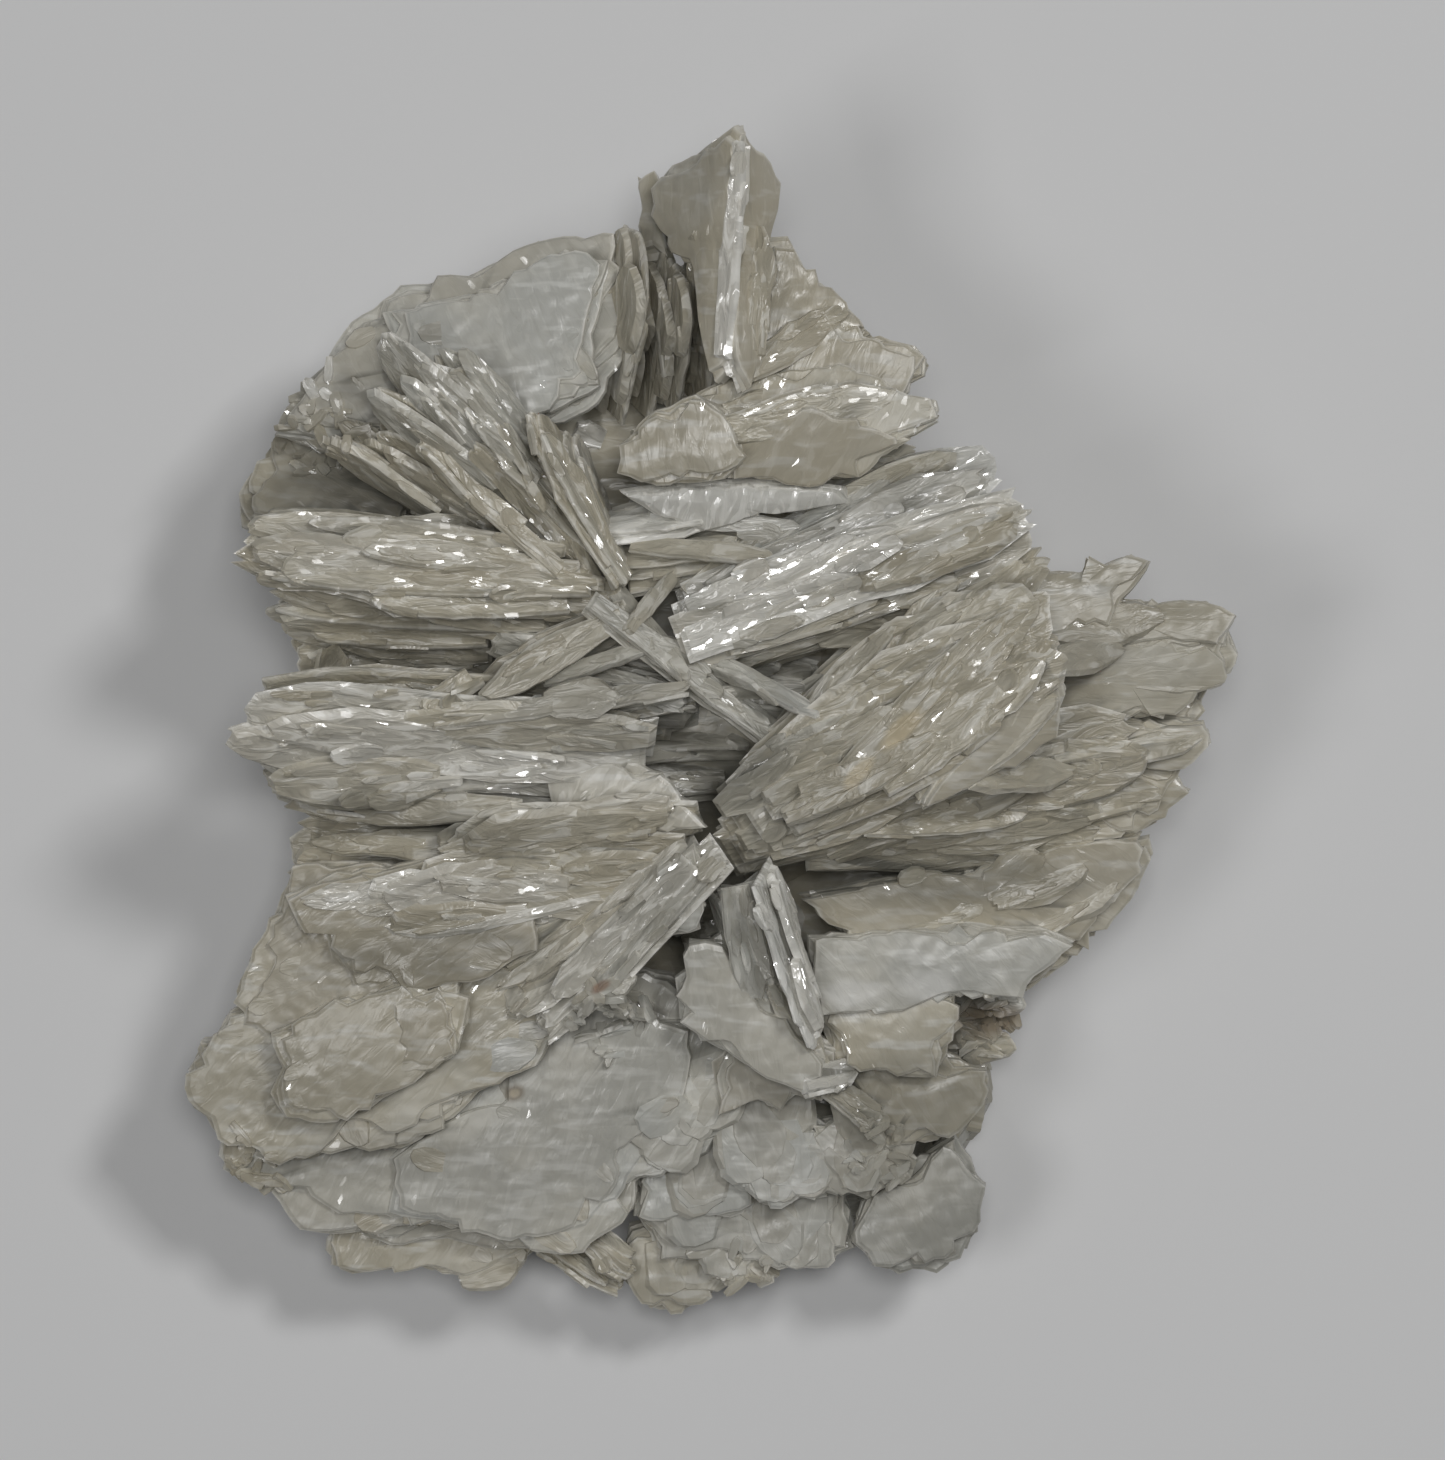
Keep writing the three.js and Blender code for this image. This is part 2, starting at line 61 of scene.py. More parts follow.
LENS_MM = 257
SENSOR_MM = 36
# name, place, size and watts
LIGHTS = (
    ("key", (0.24, 0.20, 0.56), 0.10, 0.97),
    ("fill", (-0.30, -0.10, 0.72), 0.20, 0.80),
    ("overhead", (0.02, 0.06, 0.90), 0.16, 1.56),
)
SKYLIGHT = (0.92, 0.95, 1.0, 1)
SKYLIGHT_STRENGTH = 0.03
bpy.ops.mesh.primitive_plane_add(size=FLOOR_M)
floor = bpy.context.object
floor.name = "floor"
floor_paint = bpy.data.materials.new("pale_floor")
floor_paint.use_nodes = True
paint = floor_paint.node_tree.nodes["Principled BSDF"].inputs
paint["Base Color"].default_value = PALE_GREY
paint["Roughness"].default_value = 0.6
floor.data.materials.append(floor_paint)

lens = bpy.data.cameras.new("camera")
lens.lens = LENS_MM
lens.sensor_width = SENSOR_MM
lens.clip_start = 0.01
camera = bpy.data.objects.new("camera", lens)
camera.location = CAMERA_AT
bpy.context.scene.collection.objects.link(camera)
bpy.context.scene.camera = camera

for name, place, size, watts in LIGHTS:
    lamp = bpy.data.lights.new(name, "AREA")
    lamp.size = size
    lamp.energy = watts
    stand = bpy.data.objects.new(name, lamp)
    stand.location = place
    stand.rotation_euler = (-Vector(place)).to_track_quat("-Z", "Y").to_euler()
    bpy.context.scene.collection.objects.link(stand)

room = bpy.data.worlds.new("room")
room.use_nodes = True
sky = room.node_tree.nodes["Background"].inputs
sky["Color"].default_value = SKYLIGHT
sky["Strength"].default_value = SKYLIGHT_STRENGTH
bpy.context.scene.world = room
bpy.context.scene.view_settings.view_transform = "Standard"

# Leaves ---------------------------------------------------
# Barite grows here as thin tabular crystals. Each is a cleavage leaf under half a millimetre thick, with a
# rim broken into small steps. A few shapes are modelled once, one unit long, wide and thick, and copied.
MM = 0.001
# from root to tip: share of the length, and of the half width
HALF_WIDTHS = {
    "lath": ((0, 0.75), (0.3, 0.95), (0.8, 1.0), (0.93, 0.8), (1, 0.5)),
    "leaf": ((0, 0.45), (0.25, 0.8), (0.55, 1.0), (0.8, 0.82), (0.93, 0.5), (1, 0.14)),
    "crest": ((0, 0.4), (0.35, 0.8), (0.7, 1.0), (0.88, 0.88), (0.96, 0.66), (1, 0.4)),
    "scale": ((0, 0.5), (0.4, 0.9), (0.7, 1.0), (0.9, 0.75), (1, 0.4)),
    "sheet": ((0, 0.4), (0.2, 0.85), (0.6, 1.0), (0.85, 0.72), (1, 0.22)),
    "chip": ((0, 0.6), (0.5, 1.0), (0.85, 0.8), (1, 0.35)),
}
# corners along each side and across the tip
SIDE_POINTS = {"lath": 9, "leaf": 10, "crest": 9, "scale": 4, "sheet": 5, "chip": 3}
TIP_POINTS = {"lath": 4, "leaf": 2, "crest": 6, "scale": 3, "sheet": 3, "chip": 1}
# rings from the lower face to the upper one: scale along and across, height, how pale the rim is there, frost
# and painted glow
LEAF_RINGS = ((0.99, 0.96, -0.5, 0.6), (1.0, 1.0, 0.0, 0.9), (0.97, 0.86, 0.5, 0.2))
CHIP_RINGS = ((1.0, 1.0, -0.5, 0.6), (0.94, 0.78, 0.5, 0.3))
VARIANTS = 6
BROKEN_FORMS = ("chip", "scale", "sheet")
# the steps in a rim: how uneven, how deep at the root, how much deeper at the tip; the tip's curve and chips
UNEVEN = 0.6
NOTCH_AT_ROOT = 0.08
NOTCH_TO_TIP = 0.30
TIP_CURVE = 0.02
TIP_CHIPS = 0.05


def chance(seed, k=0.0):
    # a repeatable number from 0 to 1: the k-th draw for a seed
    return math.modf(abs(math.sin(seed * 12.9898 + k * 78.233)) * 43758.5453)[0]


def along(table, s):
    # the value at s in a table of rising steps
    for (s0, h0), (s1, h1) in zip(table, table[1:]):
        if s <= s1:
            return h0 + (h1 - h0) * (s - s0) / (s1 - s0)
    return table[-1][1]


def leaf_outline(form, seed):
    count = SIDE_POINTS[form]
    sides = []
    for side in (-1, 1):
        points = [(0.0, side * 0.5 * HALF_WIDTHS[form][0][1])]
        for i in range(1, count + 1):
            s = (i - UNEVEN * chance(seed, i + 40 * side)) / count
            notch = (NOTCH_AT_ROOT + NOTCH_TO_TIP * s) * chance(seed, i + 9 * side) ** 2
            points.append((s, side * 0.5 * along(HALF_WIDTHS[form], s) * (1 - notch)))
        sides.append(points)
    tips = TIP_POINTS[form]
    tip = []
    for i in range(tips):
        t = (2 * i + 1) / tips - 1
        reach = 1 - TIP_CURVE * t * t - TIP_CHIPS * chance(seed, 70 + i) ** 2
        tip.append((reach, 0.5 * t * HALF_WIDTHS[form][-1][1]))
    return sides[0] + tip + sides[1][::-1]


def spread(mesh, name, kind, domain, values):
    # lay an attribute over a mesh
    field = "vector" if kind == "FLOAT_VECTOR" else "value"
    mesh.attributes.new(name, kind, domain).data.foreach_set(field, values)


def raise_leaf(name, outline, rings):
    # a flat sheet in its own plane, one unit thick, with a chamfered rim
    bpy.ops.object.select_all(action="DESELECT")
    bpy.ops.mesh.primitive_circle_add(vertices=len(outline), radius=1, fill_type="NGON")
    sheet = bpy.context.object
    sheet.name = name
    for vertex, (x, y) in zip(sheet.data.vertices, outline):
        vertex.co = (x, y, -0.5)
    count = len(outline)
    middle = (sum(x for x, y in outline) / count, sum(y for x, y in outline) / count, 0)
    bpy.ops.object.mode_set(mode="EDIT")
    bpy.ops.mesh.select_all(action="SELECT")
    bpy.ops.transform.resize(value=(rings[0][0], rings[0][1], 1), center_override=middle)
    for (x0, y0, z0, _), (x1, y1, z1, _) in zip(rings, rings[1:]):
        bpy.ops.mesh.extrude_region_move(TRANSFORM_OT_translate={"value": (0, 0, z1 - z0)})
        bpy.ops.transform.resize(value=(x1 / x0, y1 / y0, 1), center_override=middle)
    bpy.ops.mesh.select_all(action="SELECT")
    bpy.ops.mesh.normals_make_consistent(inside=False)
    bpy.ops.object.mode_set(mode="OBJECT")
    light = [min(rings, key=lambda ring: abs(ring[2] - corner.co.z))[3] for corner in sheet.data.vertices]
    spread(sheet.data, "rim", "FLOAT", "CORNER", [light[loop.vertex_index] for loop in sheet.data.loops])
    return sheet


# where crystals are greyer, whiter or glittering: middle x, y, heading, two half lengths, how much at most
GREY = (
    (-13, 20, 0, 8, 5, 1), (-5, -20.5, 0, 10, 6, 1), (-1, 1.5, 0, 8, 5, 1), (3, -26, 0, 8, 5, 1),
    (12.5, -27.5, 0, 4, 4, 1), (0, -13, 0, 6, 5, 1), (3, 12, 0, 9, 2, 1), (12, -13.6, 0, 8, 2.5, 1),
)
# the whiter ovals are partly white crystal and partly painted light on faces turned to the lamps
PALE_AND_LIT_OVALS = (
    (1.4, 12.3, 1, 7, 1.3, 0.9), (7.6, 9.6, 24, 8.5, 2, 1), (1.2, 26.2, 87, 7, 0.9, 1),
    (-19.6, -9.5, 340, 1.6, 1, 1), (-21.8, 19.4, 30, 1.6, 1.2, 0.8), (6.9, -20.1, 20, 1.6, 1.2, 1),
    (-6.2, 16.6, 10, 1.8, 1.1, 0.8), (-13.5, -9.6, 345, 5, 1.4, 0.7), (-13.5, -2.2, 350, 10, 2.2, 0.85),
    (4.8, -12.6, 288, 5, 1.6, 0.9), (-5, -11, 45, 6, 1.4, 0.4), (-20, 9.6, 5, 6, 1.4, 0.25),
)
GLITTER = (
    (8, 9.2, 20, 8.5, 2.2, 1), (14.5, 2.4, 45, 5, 2, 0.8), (1.5, -6.6, 30, 2.2, 1.2, 1),
    (7.5, 18.6, 20, 4, 1.2, 0.8), (24, -7.5, 50, 4, 1.2, 0.8), (-11, 14.5, 130, 9, 2, 0.9),
    (-20.5, 17.6, 20, 4.5, 3, 0.9), (-14, 8.6, 178, 9, 3, 0.5), (-12, -9.5, 350, 6, 1.6, 0.9),
    (-15, -2, 352, 8, 2, 0.5), (1.2, 26.4, 87, 7, 0.9, 0.8), (-6, -12.6, 45, 5, 1.2, 0.9),
    (-3.6, -25.6, 20, 1.6, 0.9, 1), (4.5, -13.5, 288, 4, 1.2, 0.8),
)


# an oval's full strength at its middle before it is held to the most, and how fast it falls outwards
OVAL_STRENGTH = 2.0
OVAL_FALL = 1.6


def patch(ovals, x, y):
    # how deep a point lies in the ovals: the row's most well inside one, 0 outside them all
    depth = 0.0
    for x0, y0, heading, long, wide, most in ovals:
        h = math.radians(heading)
        a = ((x - x0) * math.cos(h) + (y - y0) * math.sin(h)) / long
        b = ((y - y0) * math.cos(h) - (x - x0) * math.sin(h)) / wide
        depth = max(depth, most * min(1.0, OVAL_STRENGTH - OVAL_FALL * math.hypot(a, b)))
    return depth


def dress(mesh, where, tint, ribs, course):
    # what the finish asks of a crystal: places in its own grain, its tint, its ribs and the way it grew
    grain = [c for loop in mesh.loops for c in where[loop.vertex_index]]
    faces = len(mesh.polygons)
    spread(mesh, "grain", "FLOAT_VECTOR", "CORNER", grain)
    spread(mesh, "tint", "FLOAT", "FACE", [tint] * faces)
    spread(mesh, "ribs", "FLOAT", "FACE", [ribs] * faces)
    spread(mesh, "course", "FLOAT_VECTOR", "FACE", [*course] * faces)


# each crystal shows its own stretch of the growth pattern
GRAIN_SHIFT_MM = 40
grown = bpy.data.collections.new("grown")


def leaf_to(sheet, u, v, n, size, place, ribs, seed):
    # a copy with its own mesh, stretched to size and stood up in its own frame
    copy = sheet.copy()
    copy.data = sheet.data.copy()
    mesh = copy.data
    shade = chance(seed, 3)
    where = []
    for x, y, z in (vertex.co for vertex in mesh.vertices):
        where.append((x * size[0] + GRAIN_SHIFT_MM * shade, y * size[1], z * size[2]))
    dress(mesh, where, shade, ribs, u)
    stretch = Matrix((u * size[0], v * size[1], n * size[2])).transposed().to_4x4()
    mesh.transform(Matrix.Translation(place) @ stretch)
    middle = sum((vertex.co for vertex in mesh.vertices), Vector()) / len(mesh.vertices)
    for name, ovals in (("grey", GREY), ("white", PALE_AND_LIT_OVALS), ("glitter", GLITTER)):
        spread(mesh, name, "FLOAT", "FACE", [patch(ovals, middle.x, middle.y)] * len(mesh.polygons))
    grown.objects.link(copy)
    return copy


shapes = {}
for form in HALF_WIDTHS:
    rings = CHIP_RINGS if form in BROKEN_FORMS else LEAF_RINGS
    outlines = [leaf_outline(form, 7 * k + len(form)) for k in range(VARIANTS)]
    shapes[form] = [raise_leaf(f"{form}_{k}", outline, rings) for k, outline in enumerate(outlines)]


def facing(heading, lean):
    # the direction that a face points to: compass heading and lean from level, in degrees
    h, t = math.radians(heading), math.radians(lean)
    return Vector((math.sin(t) * math.cos(h), math.sin(t) * math.sin(h), math.cos(t)))


def leaf(form, root, tip, width, thickness, towards, ribs, seed):
    # one crystal from its root to its tip, with its face turned towards a direction
    u = tip - root
    length = u.length
    u.normalize()
    n = (towards - towards.dot(u) * u).normalized()
    sheet = shapes[form][int(chance(seed, 1) * VARIANTS)]
    side = 1 if chance(seed, 2) > 0.5 else -1
    v = n.cross(u) * side
    copy = leaf_to(sheet, u, v, n, (length, width, thickness), root, ribs, seed)
    if side < 0:
        copy.data.flip_normals()
    return copy

# Sheaves --------------------------------------------------
# Most of the rosettes are sheaves: nearly parallel blades that fan out from one root. A row gives the shape
# and the first and last blade as root x, y, z, tip x, y, z, width, heading and lean of its face. Others
# fill the space between them, with narrow gaps.
SHEAVES = (
    # diagonal ridge in the north-west
    ("leaf", (-5, 9.5, 16, -14, 20.5, 20.5, 5, 40, 50), (-7, 8.5, 16, -18.6, 21.8, 21, 5, 225, 42)),
    ("leaf", (-6.5, 8.2, 15.5, -19, 19, 19.5, 5.5, 225, 46), (-9.5, 8, 13, -21.6, 16.2, 17, 5, 225, 58)),
    ("leaf", (-4.6, 8.2, 17, -9.8, 17.8, 20, 4.2, 30, 58), (-4.8, 8, 16, -8, 16.5, 18.5, 4.6, 20, 66)),
    # western fan, opening north and south from its crest
    ("leaf", (-8, 9, 13.5, -25.6, 11.6, 15.6, 6, 90, 48), (-6, 7.8, 16, -26.2, 10, 19, 6.5, 90, 16)),
    ("leaf", (-5, 7, 16.5, -26.9, 9.2, 19.8, 5.5, 270, 18),
     (-6.5, 5, 13.5, -25.4, 6.4, 15.6, 6.5, 270, 58)),
    ("crest", (-13, 5.6, 13.5, -24.5, 6.3, 15, 4, 270, 30), (-12, 3.6, 12.2, -23.6, 4, 13.2, 5, 270, 22)),
    # crossed laths over the western trough
    ("lath", (-0.5, 1.6, 16.5, -12.4, 4.6, 15, 3.4, 250, 40),
     (-1.5, 1.8, 15.5, -11, 2.2, 13.5, 4, 270, 55)),
    ("lath", (-4.6, 6, 17, -10.6, 3.6, 15, 2.6, 100, 50), (-5.5, 4.6, 14.5, -13.6, 0.8, 12, 2.6, 110, 60)),
    ("lath", (-13.2, 3.8, 10.5, -16.6, 0.7, 12.2, 2.4, 130, 55),
     (-15.8, 4, 10.5, -18.8, 1.8, 12, 2.4, 130, 60)),
    # laths that lie along the trough and under the crossing lath
    ("lath", (-0.8, 2, 17.4, -14.5, 0, 17.6, 2.8, 80, 44),
     (-1.6, 1.7, 17.8, -9.4, 3.2, 16.6, 2.4, 265, 30)),
    ("leaf", (-4.6, 6.4, 17.2, -13, 1.6, 15.2, 3.4, 225, 34), (-4.4, 5, 17, -12, 1.4, 14.6, 3.2, 225, 48)),
    ("lath", (2, -0.8, 11.6, -10, -0.6, 14.2, 3, 90, 40), (1, -3, 11.6, -9, -2.8, 13.2, 3, 90, 24)),
    # long western ridge
    ("crest", (-1, 0.8, 15.5, -25.7, 1.7, 19.6, 6.5, 268, 52), (-3, -0.8, 17, -26.8, 0, 21, 7, 268, 40)),
    ("crest", (-3.5, -1.6, 17.6, -25.6, -1.4, 19.2, 7, 268, 34),
     (-5.5, -4, 15, -23.6, -2.8, 16, 6.5, 268, 28)),
    # shelves below it
    ("crest", (-5, -4.8, 14, -25.2, -2.8, 14, 5.5, 270, 30),
     (-3, -6.6, 14, -23.2, -5.6, 12.5, 6.5, 270, 28)),
    ("crest", (-0.5, -5.2, 17.5, -15, -6.8, 17, 5.5, 265, 30),
     (-2.5, -10, 15.6, -19.5, -10.2, 15.8, 5, 265, 30)),
    ("crest", (-12, -8, 12, -24, -7.6, 11.6, 6, 250, 20), (-12, -8, 12, -24, -7.6, 11.6, 6, 250, 20)),
    # blades spreading from the southern centre
    ("lath", (0.6, -6.8, 19, -9.6, -17.2, 15, 4, 135, 30), (-2, -7.5, 17, -12.5, -15.5, 13.6, 5, 135, 22)),
    ("lath", (3.2, -8, 18.5, 6.4, -18, 14.6, 5, 15, 66), (0.8, -9.5, 16.5, 2.6, -15, 14, 4, 200, 70)),
    ("lath", (6.4, -20, 11.8, 10.2, -22.6, 11.2, 1.8, 60, 40),
     (6.4, -20, 11.8, 10.2, -22.6, 11.2, 1.8, 60, 40)),
    ("lath", (-8, -28, 6.4, -4.2, -31.2, 6.4, 2, 60, 40), (-10.5, -28.6, 5.4, -5, -31.8, 5.4, 2, 60, 40)),
    # pages between the disc and the spire
    ("crest", (-5.6, 17.4, 12.5, -4.6, 27.6, 16.5, 7, 180, 70),
     (0.3, 18.6, 13, -0.2, 26, 18, 7.5, 180, 64)),
    # small blades under the white lath
    ("lath", (-6, 11.2, 16.5, 1, 12, 17.8, 3.2, 90, 40), (-4.6, 8.6, 15.6, 4.6, 11, 17.5, 4, 105, 30)),
    # glittering book east of the centre
    ("lath", (-0.5, 7.4, 17.5, 16.2, 14.6, 19.6, 5.4, 112, 22),
     (-1.6, 5.2, 20, 17.6, 12, 23, 5.5, 112, 12)),
    ("lath", (-1.6, 4.4, 19.6, 18, 11, 22.6, 5, 292, 20), (-1, 2.8, 17, 18.4, 9.2, 20, 5, 292, 52)),
    # laths low in the eastern gap
    ("lath", (-1.5, 3.2, 13.2, 6.4, 2.6, 14, 2.6, 270, 40), (0, 1, 12, 6, 0, 12.4, 2.6, 270, 40)),
    # long lath that crosses the centre
    ("lath", (-6.6, 7, 19.6, 6.2, -2, 18.8, 2.3, 40, 28), (-6.6, 7, 19.6, 6.2, -2, 18.8, 2.3, 40, 28)),
    # east shield
    ("leaf", (4, -1, 18, 18.4, 9.6, 21.4, 7, 128, 30), (2.6, -3.6, 20, 19, 7, 24.6, 9, 128, 8)),
    ("leaf", (2, -4.8, 19.6, 19.4, 5, 24.4, 9, 308, 14), (1, -7.4, 16.6, 18.6, -0.4, 20, 8, 308, 40)),
    # long blades below the shield
    ("crest", (7, -4.2, 16.5, 24.6, -0.6, 16, 5.5, 285, 22),
     (5.4, -7.4, 15, 22.6, -5.4, 13.4, 5.5, 285, 34)),
    # small crystals at the south-east notch
    ("leaf", (8, -12, 6, 18.4, -15.8, 8.4, 4, 330, 35), (6, -17.5, 4.5, 17.6, -18.6, 6.6, 4.5, 300, 25)),
)
# how far apart the tips of neighbouring blades lie, a leaf's thickness, and the width from which sheets break
BLADE_STEP = 1.25
LEAF_MM = 0.34
BROAD_MM = 4.6
# each blade is a book of leaves, from the back one to the front one: share of the width, shift across, length
BOOK = ((1.0, 0.0, 1.0), (0.78, 0.10, 0.93), (0.50, 0.26, 0.85))
LEAF_PITCH = 0.92
# how much an inner blade falls short of its row, how far a tip strays, and how far a face turns
SHORT_LEAST = 0.01
SHORT_MORE = 0.14
TIP_STRAYS_MM = 0.6
FACE_STRAYS = 0.16
GROOVE_LEAST_MM = 0.7
GROOVE_MORE_MM = 1.3
# the broken sheets: where along the blade they start, their least width as a share of the blade's
SHEET_STARTS = (0.05, 0.45)
SHEET_WIDTH = {"lath": 0.42, "leaf": 0.42, "crest": 0.66}


def broken_sheets(form, root, tip, width, towards, across, back, k, seed):
    # the outer sheets of a broad blade are broken across, and stay widest on the crested ones
    for low in SHEET_STARTS:
        low += 0.16 * (chance(seed, 50 + k + 10 * low) - 0.5)
        high = min(1.0, low + 0.42 + 0.2 * chance(seed, 70 + k + 10 * low))
        slide = across * width * 0.5 * (chance(seed, 90 + k + 10 * low) - 0.5)
        swing = across * width * 0.2 * (chance(seed, 110 + k + 10 * low) - 0.5)
        tilt = across * 0.2 * (chance(seed, 130 + k + 10 * low) - 0.5)
        start = root.lerp(tip, low) + back * 0.9 + slide
        end = root.lerp(tip, high) + back * 1.15 + slide + swing
        wide = width * (SHEET_WIDTH[form] + 0.3 * chance(seed, 150 + k + 10 * low)) * (0.55 + 0.7 * low)
        leaf("sheet", start, end, wide, LEAF_MM * 1.2, (towards + tilt).normalized(), 1.0, seed + k + low)


for row, (form, first, last) in enumerate(SHEAVES):
    apart = (Vector(last[3:6]) - Vector(first[3:6])).length
    books = round(apart / BLADE_STEP) + 1
    for j in range(books):
        share = j / (books - 1) if books > 1 else 0.5
        x0, y0, z0, x1, y1, z1, width = [a + (b - a) * share for a, b in zip(first[:7], last[:7])]
        root, tip = Vector((x0, y0, z0)), Vector((x1, y1, z1))
        towards = facing(*first[7:]).lerp(facing(*last[7:]), share).normalized()
        seed = 100 * row + 7 * j + 1
        jitter = Vector([chance(seed, k) - 0.5 for k in (11, 12, 13)])
        short = 0.0 if j in (0, books - 1) else SHORT_LEAST + SHORT_MORE * chance(seed, 4)
        tip = tip.lerp(root, short) + TIP_STRAYS_MM * jitter
        if 0 < j < books - 1 and j % 2:
            # every second blade stands back, which leaves a groove
            drop = Vector((0, 0, GROOVE_LEAST_MM + GROOVE_MORE_MM * chance(seed, 5)))
            root, tip = root - drop, tip - drop
        towards = (towards + FACE_STRAYS * jitter).normalized()
        across = towards.cross((tip - root).normalized())
        hand = 1 if chance(seed, 6) > 0.5 else -1
        for k, (wide, shift, long) in enumerate(BOOK):
            back = towards * (k - 1) * LEAF_MM * LEAF_PITCH
            if k and width > BROAD_MM:
                broken_sheets(form, root, tip, width, towards, across, back, k, seed)
                continue
            aside = across * hand * shift * width * (0.6 + 0.8 * chance(seed, 20 + k)) * (-1) ** k
            reach = root.lerp(tip, min(1.0, long + 0.06 * (chance(seed, 30 + k) - 0.3)))
            wide *= width * (0.86 + 0.2 * chance(seed, 40 + k))
            leaf(form, root + back + 0.4 * aside, reach + back + aside, wide, LEAF_MM, towards, 1.0, seed + k)

